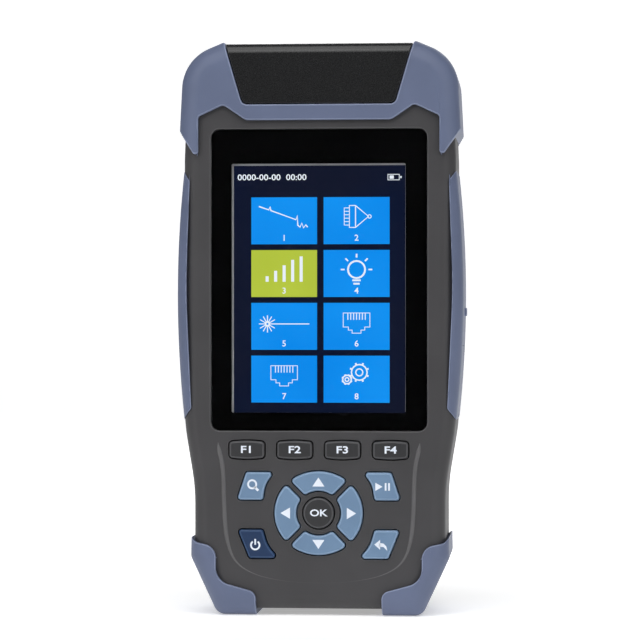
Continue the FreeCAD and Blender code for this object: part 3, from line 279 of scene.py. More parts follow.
# Battery
# A pack of lithium cells in a heat-shrunk sleeve of blue film, taped into the lower half of the
# rear shell.
sleeve_film = moulded("sleeve_film", (0.02, 0.09, 0.21), (0.016, 0.07, 0.17), 0.3, 900)
refinish("battery_pack", sleeve_film)

# Main board and key board
# Boards of glass fibre with copper tracks under green lacquer. The main board is screwed on behind
# the display's carrier, and the smaller key board sits on posts of the front half, under the keys.


def lacquered_board(name, scale):
    """A circuit board: tracks that show lighter through green lacquer, and tinned pads."""
    material = bpy.data.materials.new(name)
    material.use_nodes = True
    nodes = material.node_tree.nodes
    link = material.node_tree.links.new
    finish = nodes["Principled BSDF"]
    place = nodes.new("ShaderNodeTexCoord")
    tracks = nodes.new("ShaderNodeTexBrick")
    tracks.inputs["Scale"].default_value = scale
    tracks.inputs["Mortar Size"].default_value = 0.03
    tracks.inputs["Color1"].default_value = (0.006, 0.07, 0.025, 1)
    tracks.inputs["Color2"].default_value = (0.008, 0.09, 0.03, 1)
    tracks.inputs["Mortar"].default_value = (0.03, 0.2, 0.08, 1)
    upright = nodes.new("ShaderNodeMapping")
    upright.inputs["Rotation"].default_value = (pi / 2, 0, 0)
    link(place.outputs["Object"], upright.inputs["Vector"])
    link(upright.outputs["Vector"], tracks.inputs["Vector"])
    pads = nodes.new("ShaderNodeTexVoronoi")
    pads.inputs["Scale"].default_value = scale * 5
    link(place.outputs["Object"], pads.inputs["Vector"])
    tinned = nodes.new("ShaderNodeMapRange")
    tinned.inputs["From Min"].default_value = 0.16
    tinned.inputs["From Max"].default_value = 0.12
    link(pads.outputs["Distance"], tinned.inputs["Value"])
    surface = nodes.new("ShaderNodeMix")
    surface.data_type = "RGBA"
    surface.inputs[7].default_value = (0.55, 0.55, 0.5, 1)
    link(tinned.outputs["Result"], surface.inputs[0])
    link(tracks.outputs["Color"], surface.inputs[6])
    link(surface.outputs[2], finish.inputs["Base Color"])
    link(tinned.outputs["Result"], finish.inputs["Metallic"])
    finish.inputs["Roughness"].default_value = 0.32
    return material


board_lacquer = lacquered_board("board_lacquer", 120)
refinish("main_board", board_lacquer)
refinish("key_board", board_lacquer)

# Optical unit
# The laser, coupler and detector sit in one screened housing of cast alloy, which is bolted into
# the rear half behind the display, below the ports.
cast_alloy = moulded("cast_alloy", (0.36, 0.37, 0.38), (0.3, 0.31, 0.32), 0.42, 1800)
cast_alloy.node_tree.nodes["Principled BSDF"].inputs["Metallic"].default_value = 0.9
refinish("optical_engine", cast_alloy)

# Metal pieces: sockets, screws and hinge pins
# Stamped and nickel-plated shells for the sockets, zinc-plated screws with a cross slot, and
# ground steel pins pressed into the case. The dome sheet under the keys is stamped spring steel.


def plated(name, colour, rough):
    """Plated metal with fine drawing marks along the height."""
    material = bpy.data.materials.new(name)
    material.use_nodes = True
    nodes = material.node_tree.nodes
    link = material.node_tree.links.new
    finish = nodes["Principled BSDF"]
    finish.inputs["Metallic"].default_value = 1.0
    place = nodes.new("ShaderNodeTexCoord")
    drawn = nodes.new("ShaderNodeMapping")
    drawn.inputs["Scale"].default_value = (3000, 3000, 160)
    link(place.outputs["Object"], drawn.inputs["Vector"])
    marks = nodes.new("ShaderNodeTexNoise")
    marks.inputs["Scale"].default_value = 1
    marks.inputs["Detail"].default_value = 4
    link(drawn.outputs["Vector"], marks.inputs["Vector"])
    tone = nodes.new("ShaderNodeValToRGB")
    tone.color_ramp.elements[0].color = (*[c * 0.8 for c in colour], 1)
    tone.color_ramp.elements[1].color = (*colour, 1)
    link(marks.outputs["Fac"], tone.inputs["Fac"])
    link(tone.outputs["Color"], finish.inputs["Base Color"])
    gloss = nodes.new("ShaderNodeMapRange")
    gloss.inputs["To Min"].default_value = rough - 0.08
    gloss.inputs["To Max"].default_value = rough + 0.08
    link(marks.outputs["Fac"], gloss.inputs["Value"])
    link(gloss.outputs["Result"], finish.inputs["Roughness"])
    return material


nickel = plated("nickel_plating", (0.62, 0.6, 0.56), 0.3)
zinc = plated("zinc_plating", (0.5, 0.51, 0.53), 0.36)
for metal_piece in ("usb_socket", "card_socket", "dome_switches"):
    refinish(metal_piece, nickel)
for metal_piece in ("cover_hinge_pin", "stand_hinge_pin"):
    refinish(metal_piece, zinc)


def block(low, high):
    """A block that fills the box between those two corners."""
    bpy.ops.object.select_all(action="DESELECT")
    bpy.ops.mesh.primitive_cube_add(size=1, location=(low + high) / 2, scale=high - low)
    bpy.ops.object.transform_apply(location=True, rotation=True, scale=True)
    return bpy.context.object


def one_piece(name, parts):
    """Joins pieces of one kind into one object."""
    bpy.ops.object.select_all(action="DESELECT")
    for part in parts:
        part.select_set(True)
    bpy.context.view_layer.objects.active = parts[0]
    if len(parts) > 1:
        bpy.ops.object.join()
    joined = bpy.context.object
    joined.name = name
    return joined


screws = from_mould("case_screws", "case", zinc)
head_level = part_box("case_screws")[1].y
head_reach = 0.006
heads = []
for vertex in screws.data.vertices:
    if vertex.co.y > head_level - 0.00001:
        near = [rim for rim in heads if (rim[0] - vertex.co).length < head_reach]
        if near:
            near[0].append(vertex.co.copy())
        else:
            heads.append([vertex.co.copy()])

slot_long = 0.0028
slot_wide = 0.0006
slot_deep = 0.0007
for wide, high in ((slot_long, slot_wide), (slot_wide, slot_long)):
    half_bar = Vector((wide / 2, slot_deep, high / 2))
    bars = []
    for rim in heads:
        across = [place.x for place in rim]
        up = [place.z for place in rim]
        middle = Vector(((min(across) + max(across)) / 2, head_level, (min(up) + max(up)) / 2))
        bars.append(block(middle - half_bar, middle + half_bar))
    cutter = one_piece("slot_cutter", bars)
    cut_away(screws, cutter)
    bpy.data.objects.remove(cutter)
smooth_over(screws, soft_corner)

# Ports on the top
# A black port plate holds three sockets for fibre plugs: the tester's own square port of green
# plastic, and two round ports of nickel-plated metal for the power meter and the fault locator.
plate_plastic = moulded("plate_plastic", (0.016, 0.016, 0.017), (0.012, 0.012, 0.013), 0.48, 2600)
green_plastic = moulded("green_plastic", (0.02, 0.32, 0.13), (0.015, 0.27, 0.11), 0.35, 2200)
refinish("port_plate", plate_plastic)
from_mould("otdr_adapter", "case", green_plastic, ease=0.00012)
from_mould("power_meter_port", "case", nickel, ease=0.00012)
from_mould("fault_locator_port", "case", nickel, ease=0.00012)

# Network jacks
# Two stacked jacks of black plastic behind the left flap, each with eight gold-plated contact
# wires that lean out of the roof of the mouth.
refinish("network_jack_lower", plate_plastic)
refinish("network_jack_upper", plate_plastic)
gold = plated("gold_plating", (0.83, 0.6, 0.22), 0.22)


def chain(points):
    """A run of edges through those points (x, y, z) in metres, left in edit mode, all selected."""
    bpy.ops.object.select_all(action="DESELECT")
    bpy.ops.mesh.primitive_plane_add(size=0.001, location=points[0])
    bpy.ops.object.mode_set(mode="EDIT")
    bpy.ops.mesh.merge(type="CENTER")
    for here, there in zip(points, points[1:]):
        step = tuple(b - a for a, b in zip(here, there))
        bpy.ops.mesh.extrude_region_move(TRANSFORM_OT_translate={"value": step})
    bpy.ops.mesh.select_all(action="SELECT")
    return bpy.context.object


def wire(name, points, radius, material, closed=False, swell=()):
    """A round wire or line through those points (x, y, z), in metres, thinner where swell says so."""
    chain(list(points) + ([points[0]] if closed else []))
    bpy.ops.mesh.remove_doubles(threshold=0.000001)
    bpy.ops.object.mode_set(mode="OBJECT")
    bpy.ops.object.convert(target="CURVE")
    piece = bpy.context.object
    piece.name = name
    piece.data.dimensions = "3D"
    for point, part in zip(piece.data.splines[0].points, swell):
        point.radius = part
    piece.data.bevel_depth = radius
    piece.data.bevel_resolution = 1
    piece.data.use_fill_caps = True
    bpy.ops.object.convert(target="MESH")
    piece = bpy.context.object
    bpy.ops.object.transform_apply(location=True, rotation=True, scale=True)
    piece.data.materials.clear()
    piece.data.materials.append(material)
    return piece


contact_pitch = 0.00102
for jack in ("lower", "upper"):
    low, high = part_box("network_jack_" + jack)
    mouth = low.x + 0.0012
    contacts = []
    for number in range(8):
        across = (number - 3.5) * contact_pitch
        contacts.append(wire("contact", [
            (mouth + 0.0005, across, high.z - 0.0016),
            (mouth + 0.004, across, high.z - 0.0020),
            (mouth + 0.0105, across, high.z - 0.0052)], 0.00018, gold))
    contacts = one_piece("jack_contacts_" + jack, contacts)
    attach(contacts, "case")

# Socket shroud
# A moulded plate of black plastic, glued behind the opening in the right flank and cut out for the
# two sockets, so that no dust gets past them.
socket_gap = 0.00015
shroud_edge = 0.0005
shroud_thick = 0.0008
shroud_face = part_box("card_socket")[1].x + 0.00005
flap_low, flap_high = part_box("side_flap_right")
shroud = block(Vector((shroud_face - shroud_thick, flap_low.y + shroud_edge, flap_low.z + shroud_edge)),
               Vector((shroud_face, flap_high.y - shroud_edge, flap_high.z - shroud_edge)))
shroud.name = "socket_shroud"
for socket_node in ("usb_socket", "card_socket"):
    low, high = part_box(socket_node)
    cutter = block(Vector((shroud_face - 0.002, low.y - socket_gap, low.z - socket_gap)),
                   Vector((shroud_face + 0.002, high.y + socket_gap, high.z + socket_gap)))
    cut_away(shroud, cutter)
    bpy.data.objects.remove(cutter)
eased = shroud.modifiers.new("eased_edges", "BEVEL")
eased.width = 0.0001
eased.segments = 2
bpy.ops.object.modifier_apply(modifier="eased_edges")
shroud.data.materials.append(plate_plastic)
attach(shroud, "case")

# Keys' mat and display carrier
# One sheet of soft silicone rubber presses the thirteen key caps up into their holes. The display
# sits in a carrier of black plastic that clips into the front half.
refinish("keypad_mat", black_silicone)
refinish("lcd_frame", plate_plastic)

# Front half of the case
# The same dark grey plastic. Its face carries the window's recess and the key holes, whose rims
# are eased, and a soft moulded line that frames the keys.
# The moulded line and the eased rims of the face are painted in a plastic lighter than the shell, as a
# highlight.
line_highlight_plastic = moulded("line_highlight_plastic", (0.115, 0.113, 0.116), (0.1, 0.098, 0.101), 0.38, 2600)
front_moulding = from_mould("front_shell", "case", shell_plastic)
front_moulding.data.materials.append(line_highlight_plastic)


def ease_rims(piece, level, half_wide, width):
    """Eases the sharp rims in the piece's front face, at that level and within half_wide of its middle."""
    bpy.ops.object.select_all(action="DESELECT")
    bpy.context.view_layer.objects.active = piece
    piece.select_set(True)
    bpy.ops.object.mode_set(mode="EDIT")
    bpy.ops.mesh.select_all(action="SELECT")
    bpy.ops.mesh.dissolve_degenerate(threshold=0.000003)
    bpy.ops.mesh.select_mode(type="EDGE")
    bpy.ops.mesh.select_all(action="DESELECT")
    bpy.ops.mesh.edges_select_sharp(sharpness=radians(60))
    bpy.ops.object.mode_set(mode="OBJECT")
    sharp = {edge.index for edge in piece.data.edges if edge.select}
    walls = {key for face in piece.data.polygons if abs(face.normal.y) < 0.3 and face.area > 1e-9
             for key in face.edge_keys}
    select_edges(piece, lambda edge, ends: edge.index in sharp and edge.key in walls and all(
        abs(end.y - level) < 0.00002 and abs(end.x) < half_wide for end in ends))
    # The eased rims take the piece's second material, the lighter plastic of the frame line: a painted
    # highlight.
    bpy.ops.mesh.bevel(offset=width, segments=2, affect="EDGES", clamp_overlap=False, material=1)
    bpy.ops.mesh.select_mode(type="VERT")
    bpy.ops.object.mode_set(mode="OBJECT")
    smooth_over(piece, soft_corner)


front_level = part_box("front_shell")[0].y
ease_rims(front_moulding, front_level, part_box("display_lens")[1].x + 0.00015, 0.00018)

half_line = [(29.7, 52.3), (29.3, 48.6), (28.4, 45.2), (27.9, 40.8), (27.8, 34.0), (27.5, 27.5), (27.0, 22.6),
             (25.6, 17.6), (22.9, 14.2), (17.8, 11.7), (11.5, 10.4), (5.6, 9.8)]
line_path = [(-x, z) for x, z in half_line] + [(0.0, 9.7)] + half_line[::-1]
for rounding in range(2):
    eased_path = line_path[:1]
    for (xa, za), (xb, zb) in zip(line_path, line_path[1:]):
        eased_path += [(0.75 * xa + 0.25 * xb, 0.75 * za + 0.25 * zb),
                       (0.25 * xa + 0.75 * xb, 0.25 * za + 0.75 * zb)]
    line_path = eased_path + line_path[-1:]
top_of_line = line_path[0][1]


def line_swell(z):
    """The line's part of its full thickness at height z: it runs out at its top ends and low down."""
    at_ends = min(1.0, (top_of_line - z) / 5 + 0.25)
    low_down = 0.57 + 0.43 * min(1, max(0, (z - 10) / 14))
    return at_ends * low_down


line_radius = 0.0008
line_sunk = 0.00045
frame_line = wire("frame_line", [(x / 1000, front_level + line_sunk, z / 1000) for x, z in line_path],
                  line_radius, line_highlight_plastic, swell=[line_swell(z) for x, z in line_path])
bpy.ops.object.shade_smooth()
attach(frame_line, "case")

# Display
# A lit liquid crystal panel in a thin pressed metal frame, 1.3 mm behind the window. Its menu is
# drawn with generic signs: a status bar and eight tiles, of which the third is chosen.


def lit(name, colour, other_colour):
    """A lit area of the panel: its colour, a little uneven, in fine rows of picture points."""
    material = bpy.data.materials.new(name)
    material.use_nodes = True
    nodes = material.node_tree.nodes
    link = material.node_tree.links.new
    finish = nodes["Principled BSDF"]
    finish.inputs["Base Color"].default_value = (0.002, 0.002, 0.003, 1)
    finish.inputs["Roughness"].default_value = 0.4
    finish.inputs["Specular IOR Level"].default_value = 0.0
    finish.inputs["IOR"].default_value = 1.0
    place = nodes.new("ShaderNodeTexCoord")
    uneven = nodes.new("ShaderNodeTexNoise")
    uneven.inputs["Scale"].default_value = 38
    uneven.inputs["Detail"].default_value = 1
    link(place.outputs["Object"], uneven.inputs["Vector"])
    rows = nodes.new("ShaderNodeTexWave")
    rows.bands_direction = "Z"
    rows.inputs["Scale"].default_value = 1050
    rows.inputs["Distortion"].default_value = 0
    link(place.outputs["Object"], rows.inputs["Vector"])
    tone = nodes.new("ShaderNodeValToRGB")
    tone.color_ramp.elements[0].position = 0.35
    tone.color_ramp.elements[1].position = 0.65
    tone.color_ramp.elements[0].color = (*colour, 1)
    tone.color_ramp.elements[1].color = (*other_colour, 1)
    link(uneven.outputs["Fac"], tone.inputs["Fac"])
    ruled = nodes.new("ShaderNodeMix")
    ruled.data_type = "RGBA"
    ruled.blend_type = "MULTIPLY"
    ruled.inputs[7].default_value = (0.9, 0.9, 0.9, 1)
    link(rows.outputs["Fac"], ruled.inputs[0])
    link(tone.outputs["Color"], ruled.inputs[6])
    link(ruled.outputs[2], finish.inputs["Emission Color"])
    finish.inputs["Emission Strength"].default_value = 1.0
    return material


lit_ground = lit("lit_ground", (0.0032, 0.0070, 0.0262), (0.0056, 0.0080, 0.0222))
lit_blue = lit("lit_blue", (0.003, 0.262, 0.87), (0.006, 0.30, 0.925))
lit_green = lit("lit_green", (0.43, 0.53, 0.046), (0.515, 0.63, 0.06))
lit_white = lit("lit_white", (0.82, 0.90, 1.0), (0.88, 0.94, 1.0))
refinish("lcd_module", plate_plastic)

panel_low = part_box("lcd_module")[0]
panel_face = panel_low.y
panel_foot = panel_low.z * 1000


def rectangle(left, right, low, high):
    """The corners of an upright rectangle, from millimetres."""
    return [(x / 1000, z / 1000) for x, z in ((left, low), (right, low), (right, high), (left, high))]


def thicken(deep):
    """Gives the selected face that depth and leaves edit mode."""
    bpy.ops.mesh.extrude_region_move(TRANSFORM_OT_translate={"value": (0, deep, 0)})
    bpy.ops.mesh.select_all(action="SELECT")
    bpy.ops.mesh.normals_make_consistent(inside=False)
    bpy.ops.object.mode_set(mode="OBJECT")
    bpy.ops.object.transform_apply(location=True, rotation=True, scale=True)


def plate(name, corners, front, thick, material):
    """A thin plate or print with that outline, (x, z) in metres, its face at depth front."""
    piece = chain([(x, front, z) for x, z in corners])
    piece.name = name
    bpy.ops.mesh.edge_face_add()
    thicken(thick)
    piece.data.materials.append(material)
    return piece


def on_display(piece):
    """Fixes a piece of the display to the case."""
    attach(piece, "case")


lit_left = -25.15
lit_right = 25.2
lit_low = panel_foot + 3.5
lit_high = panel_foot + 75.8
pressed_frame = plated("pressed_frame", (0.62, 0.62, 0.63), 0.45)
rail_wide = 0.7
rail_low = lit_low - 0.4
rail_high = lit_high + 0.6
frame_rails = [plate("rail", rectangle(*rail), panel_face - 0.00006, 0.00005, pressed_frame) for rail in (
    (lit_left - rail_wide, lit_left, rail_low, rail_high),
    (lit_right, lit_right + rail_wide, rail_low, rail_high),
    (lit_left, lit_right, lit_high, rail_high),
    (lit_left, lit_right, rail_low, lit_low))]
on_display(one_piece("display_rails", frame_rails))

lit_thick = 0.00003
on_display(plate("display_ground", rectangle(lit_left, lit_right, lit_low, lit_high), panel_face - 0.00004,
                 lit_thick, lit_ground))

tile_across = (-10.33, 10.92)
tile_up = [panel_foot + up for up in (59.65, 44.2, 28.75, 13.3)]
half_wide, half_high = 9.66, 6.87
tiles = []
for row, up in enumerate(tile_up):
    for across in tile_across:
        chosen = row == 1 and across < 0
        area = rectangle(across - half_wide, across + half_wide, up - half_high, up + half_high)
        tile = plate("tile", area, panel_face - 0.00008, lit_thick, lit_green if chosen else lit_blue)
        if chosen:
            tile.name = "display_tile_chosen"
            on_display(tile)
        else:
            tiles.append(tile)
on_display(one_piece("display_tiles", tiles))

ink = panel_face - 0.00009
tile_middle = [(across, up) for up in tile_up for across in tile_across]


def stroke(middle, points, wide=0.42, closed=False):
    """A line of a sign on the display, through points in millimetres from that middle."""
    places = [((middle[0] + x) / 1000, ink, (middle[1] + z) / 1000) for x, z in points]
    return wire("stroke", places, wide / 2000, lit_white, closed)


def lettering(words, size, centre, depth, material, bold=0.0, thick=0.00001, stretch=1.0):
    """Plain letters or digits, printed upright, centred on (x, z) in millimetres."""
    bpy.ops.object.select_all(action="DESELECT")
    bpy.ops.object.text_add(location=(centre[0] / 1000, depth, centre[1] / 1000), rotation=(pi / 2, 0, 0))
    text = bpy.context.object
    text.data.body = words
    text.data.size = size / 1000
    text.data.align_x = "CENTER"
    text.data.align_y = "CENTER"
    text.data.offset = bold / 1000
    text.data.extrude = thick
    text.data.resolution_u = 3
    text.scale.x = stretch
    bpy.ops.object.convert(target="MESH")
    text = bpy.context.object
    bpy.ops.object.transform_apply(location=True, rotation=True, scale=True)
    text.data.materials.clear()
    text.data.materials.append(material)
    return text


def ring(middle, x, z, radius, wide=0.42, count=16):
    """A round line of a sign, in millimetres from that middle."""
    angles = [2 * pi * k / count for k in range(count)]
    return stroke(middle, [(x + radius * cos(a), z + radius * sin(a)) for a in angles], wide, True)


def rays(middle, x, z, start, end, angles, wide):
    """Short lines that point away from (x, z), at those angles in degrees."""
    return [stroke(middle, [(x + start * cos(radians(a)), z + start * sin(radians(a))),
                            (x + end * cos(radians(a)), z + end * sin(radians(a)))], wide) for a in angles]


trace, plug, level, lamp, source, socket, pair, gears = tile_middle
# a falling trace with its two events and noise
signs = [stroke(trace, [(-7.4, 4.2), (-4.5, 3.2), (-4.1, 4.1), (-3.9, 3.0), (3.5, 0.3), (3.9, 1.5),
                        (4.0, -1.3), (4.7, -1.9), (5.2, -0.7), (5.7, -2.1), (6.4, -1.2), (6.9, -1.9)], 0.45)]
# a fibre plug
signs += [stroke(plug, [(-2.1, 4.4), (-0.3, 4.4), (3.5, 1.2), (-0.3, -2.0), (-2.1, -2.0)], 0.35, True),
          stroke(plug, [(-2.1, 3.7), (-3.6, 3.7), (-3.6, -1.3), (-2.1, -1.3)], 0.3),
          stroke(plug, [(-0.3, 4.2), (-0.3, -1.8)], 0.3), ring(plug, 3.8, 1.2, 0.5, 0.3, 10)]
signs += [stroke(plug, [(-3.6, z), (-2.1, z)], 0.25) for z in (2.7, 1.7, 0.7, -0.3)]
# a level meter and a lamp
signs += [stroke(level, [(x, -2.4), (x, top)], 0.9)
          for x, top in ((-5.0, -0.8), (-2.5, 0.8), (0.0, 2.4), (2.5, 4.0), (5.0, 5.0))]
signs += [ring(lamp, 0, 1.15, 2.5, 0.6, 20), stroke(lamp, [(-1.2, -2.0), (1.2, -2.0)], 0.6),
          stroke(lamp, [(-0.9, -3.0), (0.9, -3.0)], 0.6)]
signs += rays(lamp, 0, 1.15, 3.5, 4.6, (0, 45, 90, 135, 180), 0.5)
# a light source and its beam
signs += rays(source, -4.9, 0.7, 0.7, 2.5, range(0, 360, 30), 0.3)
signs += [stroke(source, [(-3.9, 0.7), (7.4, 0.7)], 0.35), ring(source, -4.9, 0.7, 0.6, 0.6, 10)]
# two network sockets
outline = [(-3.9, 3.9), (3.9, 3.9), (3.9, -0.2), (2.4, -0.2), (2.4, -1.1), (1.3, -1.1), (1.3, -2.0),
           (-1.3, -2.0), (-1.3, -1.1), (-2.4, -1.1), (-2.4, -0.2), (-3.9, -0.2)]
for middle in (socket, pair):
    signs.append(stroke(middle, outline, 0.32, True))
    signs += [stroke(middle, [(k * 0.85, 3.8), (k * 0.85, 1.9)], 0.26) for k in range(-3, 4)]
# two gear wheels
for x, z, radius in ((0.8, 2.0, 2.3), (-2.8, -0.1, 1.25)):
    signs += [ring(gears, x, z, radius, 0.45), ring(gears, x, z, radius * 0.45, 0.4, 12)]
    signs += rays(gears, x, z, radius, radius * 1.27, range(22, 360, 45), 0.6)
# plain numbers under the signs, the clock and the battery
for number, (across, up) in enumerate(tile_middle, 1):
    signs.append(lettering(str(number), 2.5, (across, up - 5.1), ink, lit_white, 0.03))
bar = (0.0, panel_foot + 72.3)
signs.append(lettering("0000-00-00  00:00", 2.45, (-13.9, bar[1]), ink, lit_white, 0.03, stretch=1.12))
signs += [stroke(bar, [(20.1, -0.8), (20.1, 0.8), (23.4, 0.8), (23.4, -0.8)], 0.3, True),
          stroke(bar, [(20.6, 0.0), (21.8, 0.0)], 1.1), stroke(bar, [(23.7, 0.0), (24.1, 0.0)], 0.7)]
on_display(one_piece("display_signs", signs))

# Window
# A flat pane of clear acrylic, printed black behind its border and bonded into the recess of
# the front half.
pane = bpy.data.materials.new("clear_pane")
pane.use_nodes = True
pane_nodes = pane.node_tree.nodes
pane_finish = pane_nodes["Principled BSDF"]
pane_finish.inputs["Transmission Weight"].default_value = 1.0
pane_finish.inputs["IOR"].default_value = 1.0
pane_finish.inputs["Roughness"].default_value = 0.0
pane_place = pane_nodes.new("ShaderNodeTexCoord")
pane_cloud = pane_nodes.new("ShaderNodeTexNoise")
pane_cloud.inputs["Scale"].default_value = 30
pane_tint = pane_nodes.new("ShaderNodeValToRGB")
pane_tint.color_ramp.elements[0].color = (0.985, 0.99, 1.0, 1)
pane_tint.color_ramp.elements[1].color = (1, 1, 1, 1)
pane.node_tree.links.new(pane_place.outputs["Object"], pane_cloud.inputs["Vector"])
pane.node_tree.links.new(pane_cloud.outputs["Fac"], pane_tint.inputs["Fac"])
pane.node_tree.links.new(pane_tint.outputs["Color"], pane_finish.inputs["Base Color"])
from_mould("display_lens", "case", pane, ease=0.00012)

border_black = moulded("border_black", (0.0022, 0.0022, 0.0025), (0.0018, 0.0018, 0.002), 0.5, 400, 0.0)
border_black.node_tree.nodes["Bump"].inputs["Strength"].default_value = 0.01
border_black.node_tree.nodes["Principled BSDF"].inputs["IOR"].default_value = 1.0


def rounded(left, right, low, high, radius):
    """A rectangle's corners in metres, from millimetres, each with five points round it."""
    loop = []
    for x, z, start in ((right - radius, high - radius, 0), (left + radius, high - radius, 90),
                        (left + radius, low + radius, 180), (right - radius, low + radius, 270)):
        angles = [radians(start + step) for step in (0, 22.5, 45, 67.5, 90)]
        loop += [((x + radius * cos(a)) / 1000, (z + radius * sin(a)) / 1000) for a in angles]
    return loop


def loop_of(points, depth):
    """A closed loop of edges through (x, z) points in metres."""
    piece = chain([(x, depth, z) for x, z in points + points[:1]])
    bpy.ops.mesh.remove_doubles(threshold=0.000001)
    bpy.ops.object.mode_set(mode="OBJECT")
    bpy.ops.object.transform_apply(location=True, rotation=True, scale=True)
    return piece


pane_low, pane_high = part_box("display_lens")
print_depth = pane_high.y + 0.00004
print_inset = 0.15
border_print = one_piece("window_border_print", [
    loop_of(rounded(pane_low.x * 1000 + print_inset, pane_high.x * 1000 - print_inset,
                    pane_low.z * 1000 + print_inset, pane_high.z * 1000 - print_inset, 2.4), print_depth),
    loop_of(rounded(lit_left - 0.5, lit_right + 0.1, lit_low + 0.04, lit_high + 0.5, 0.4), print_depth)])
bpy.ops.object.mode_set(mode="EDIT")
bpy.ops.mesh.select_all(action="SELECT")
bpy.ops.mesh.bridge_edge_loops()
bpy.ops.mesh.select_all(action="SELECT")
print_thick = 0.00003
thicken(print_thick)
border_print.data.materials.append(border_black)
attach(border_print, "case")

# Rubber guards
# Soft thermoplastic rubber in a muted blue, moulded over the front and the rear half of the case: a
# guard over the head, a strip on each flank and a foot with a round inner corner on each side.
guard_rubber = moulded("guard_rubber", (0.122, 0.148, 0.236), (0.106, 0.129, 0.206), 0.46, 1900)
# The eased edges of the guards and flaps get a lighter copy of the rubber's colour, as a painted highlight.
rubber_edge_highlight = moulded("rubber_edge_highlight", (0.21, 0.245, 0.36), (0.18, 0.21, 0.31), 0.42, 1900)
for guard in ("top_bumper_front", "top_bumper_rear"):
    from_mould(guard, "case", guard_rubber, ease=0.0004, rim=rubber_edge_highlight, weld=0.00012)

corner_radius = 0.004
corner_x, corner_z = 0.0341, 0.01694
cut_front = cad_box[0][1] - 0.001
cut_deep = 0.044
foot_corner = [(corner_x + corner_radius * cos(radians(a)), corner_z + corner_radius * sin(radians(a)))
               for a in range(180, 99, -8)]
foot_corner = [(0.0294, corner_z)] + foot_corner + [(0.03327, 0.02167), (0.0294, 0.0213)]
for side, hand in (("left", -1), ("right", 1)):
    rounding_cut = loop_of([(hand * x, z) for x, z in foot_corner], cut_front)
    bpy.ops.object.mode_set(mode="EDIT")
    bpy.ops.mesh.select_all(action="SELECT")
    bpy.ops.mesh.edge_face_add()
    thicken(cut_deep)
    for half in ("front", "rear"):
        from_mould(f"foot_bumper_{half}_{side}", "case", guard_rubber,
                   ease=0.0003, rim=rubber_edge_highlight, trim=rounding_cut)
        from_mould(f"grip_{half}_{side}", "case", guard_rubber,
                   ease=0.0003, rim=rubber_edge_highlight)
    bpy.data.objects.remove(rounding_cut)

# Side flaps
# A plug-in flap of the same rubber over the sockets in each flank, held by its strap at the top,
# with a small tab to pull it open.
for side in ("left", "right"):
    from_mould("side_flap_" + side, "flap_" + side, guard_rubber,
               ease=0.00025, rim=rubber_edge_highlight)

# Dust cover
# A hinged lid of black plastic over the ports, with a rounded front edge. A pad of black foam
# inside it keeps dust out.
cover_plastic = moulded("cover_plastic", (0.0110, 0.0111, 0.0115), (0.009, 0.0091, 0.0095), 0.27, 2400, 0.5)
# The lid's eased edges get a lighter grey than the lid, as a painted highlight.
cover_rim_highlight = moulded("cover_rim_highlight", (0.034, 0.034, 0.036), (0.028, 0.028, 0.03), 0.36, 2400, 0.5)
from_mould("dust_cover", "cover", cover_plastic, ease=0.0002, rim=cover_rim_highlight)
foam = moulded("closed_cell_foam", (0.02, 0.02, 0.02), (0.012, 0.012, 0.012), 0.85, 1500)
refinish("cover_pad", foam)

# Folding stand
# A moulded frame of the case's plastic, sunk into the back when shut, that folds out on a steel
# pin so that the tester leans on a table.
from_mould("kickstand", "stand", shell_plastic, ease=0.0002)

# Keys
# Thirteen separate caps, moulded smooth, on the rubber mat. Function keys and the centre key are charcoal,
# the others blue and the power key navy, each with its sign printed in white.
# Each cap's eased edges take its rim colour, lighter than the cap: a painted highlight.
caps = {
    "dark": (moulded("charcoal_cap", (0.033, 0.033, 0.035), (0.028, 0.028, 0.030), 0.42, 2800),
             moulded("charcoal_rim_highlight", (0.075, 0.075, 0.079), (0.064, 0.064, 0.068), 0.4, 2800)),
    "blue": (moulded("blue_cap", (0.150, 0.240, 0.365), (0.132, 0.214, 0.332), 0.4, 2800),
             moulded("blue_rim_highlight", (0.215, 0.32, 0.465), (0.19, 0.285, 0.42), 0.38, 2800)),
    "navy": (moulded("navy_cap", (0.014, 0.036, 0.095), (0.012, 0.031, 0.083), 0.4, 2800),
             moulded("navy_rim_highlight", (0.03, 0.066, 0.15), (0.026, 0.058, 0.132), 0.38, 2800)),
}
key_colours = {"f1": "dark", "f2": "dark", "f3": "dark", "f4": "dark", "ok": "dark",
               "zoom": "blue", "play": "blue", "back": "blue", "up": "blue", "down": "blue",
               "left": "blue", "right": "blue", "power": "navy"}
for key, colour in key_colours.items():
    cap, cap_rim_highlight = caps[colour]
    from_mould("key_" + key, f"key_{key}_body", cap, ease=0.00022, rim=cap_rim_highlight)

# Key signs
# White ink on the caps: plain letters and the common signs for zoom, play and pause, back,
# power and the four directions.
white_ink = moulded("white_ink", (0.76, 0.80, 0.87), (0.70, 0.75, 0.84), 0.5, 3000)
ink_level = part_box("key_f1")[0].y - 0.00002


def middle_of(key):
    """The middle of a key's face, (x, z) in millimetres."""
    low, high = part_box("key_" + key)
    return (low.x + high.x) * 500, (low.z + high.z) * 500


pad_x, pad_z = middle_of("ok")


def printed(key, parts):
    """The parts of a key's sign as one piece that moves with the key."""
    sign = one_piece(f"key_sign_{key}", parts)
    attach(sign, f"key_{key}_body")


def ink_plate(corners):
    """A solid area of ink, from (x, z) in millimetres from the middle of the pad."""
    places = [((pad_x + x) / 1000, (pad_z + z) / 1000) for x, z in corners]
    return plate("ink", places, ink_level, 0.00004, white_ink)


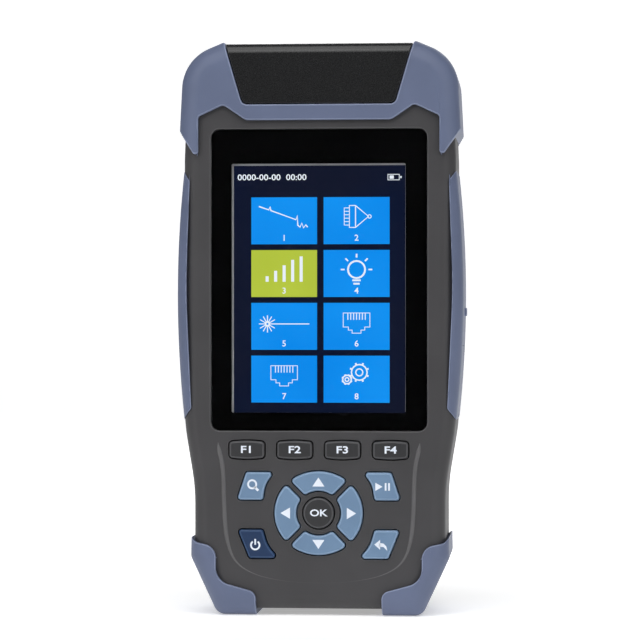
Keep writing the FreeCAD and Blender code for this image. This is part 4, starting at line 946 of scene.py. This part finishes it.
def ink_bar(start, end, wide):
    """A straight bar of ink between two (x, z) points, in millimetres."""
    long = ((end[0] - start[0]) ** 2 + (end[1] - start[1]) ** 2) ** 0.5
    side_x = -(end[1] - start[1]) / long * wide / 2
    side_z = (end[0] - start[0]) / long * wide / 2
    return ink_plate([(start[0] + side_x, start[1] + side_z), (start[0] - side_x, start[1] - side_z),
                      (end[0] - side_x, end[1] - side_z), (end[0] + side_x, end[1] + side_z)])


def ink_arc(x, z, radius, start, end, wide):
    """A curved bar of ink round (x, z), in millimetres and degrees."""
    angles = [radians(start + (end - start) * k / 20) for k in range(21)]
    outer = radius + wide / 2
    inner = radius - wide / 2
    return ink_plate([(x + outer * cos(a), z + outer * sin(a)) for a in angles]
                     + [(x + inner * cos(a), z + inner * sin(a)) for a in reversed(angles)])


letter_level = ink_level + 0.00001
for number in (1, 2, 3, 4):
    key = f"f{number}"
    printed(key, [lettering(f"F{number}", 2.9, middle_of(key), letter_level, white_ink, 0.06, stretch=1.35)])
printed("ok", [lettering("OK", 2.75, (pad_x, pad_z), letter_level, white_ink, 0.06, stretch=1.25)])
printed("up", [ink_plate([(-1.75, 7.8), (1.75, 7.8), (0, 10.45)])])
printed("down", [ink_plate([(-1.75, -7.75), (0, -10.4), (1.75, -7.75)])])
printed("left", [ink_plate([(-8.3, 1.65), (-11.1, 0), (-8.3, -1.65)])])
printed("right", [ink_plate([(8.3, 1.65), (8.3, -1.65), (11.0, 0)])])
printed("zoom", [ink_arc(-19.4, 8.35, 1.2, -45, 314.9, 0.55), ink_bar((-18.6, 7.55), (-17.6, 6.5), 0.7)])
printed("play", [ink_plate([(16.6, 9.0), (16.6, 6.6), (18.7, 7.8)]), ink_bar((19.6, 6.7), (19.6, 8.9), 0.5),
                 ink_bar((20.6, 6.7), (20.6, 8.9), 0.5)])
printed("power", [ink_arc(-18.5, -9.4, 1.25, 125, 415, 0.5), ink_bar((-18.5, -9.3), (-18.5, -7.6), 0.5)])
printed("back", [
    ink_plate([(16.3, -9.0), (18.0, -10.5), (18.0, -7.6)]),
    ink_plate([(17.8, -8.5), (17.8, -9.6), (19.0, -9.7), (20.1, -10.8), (19.8, -9.5), (19.0, -8.7)])])
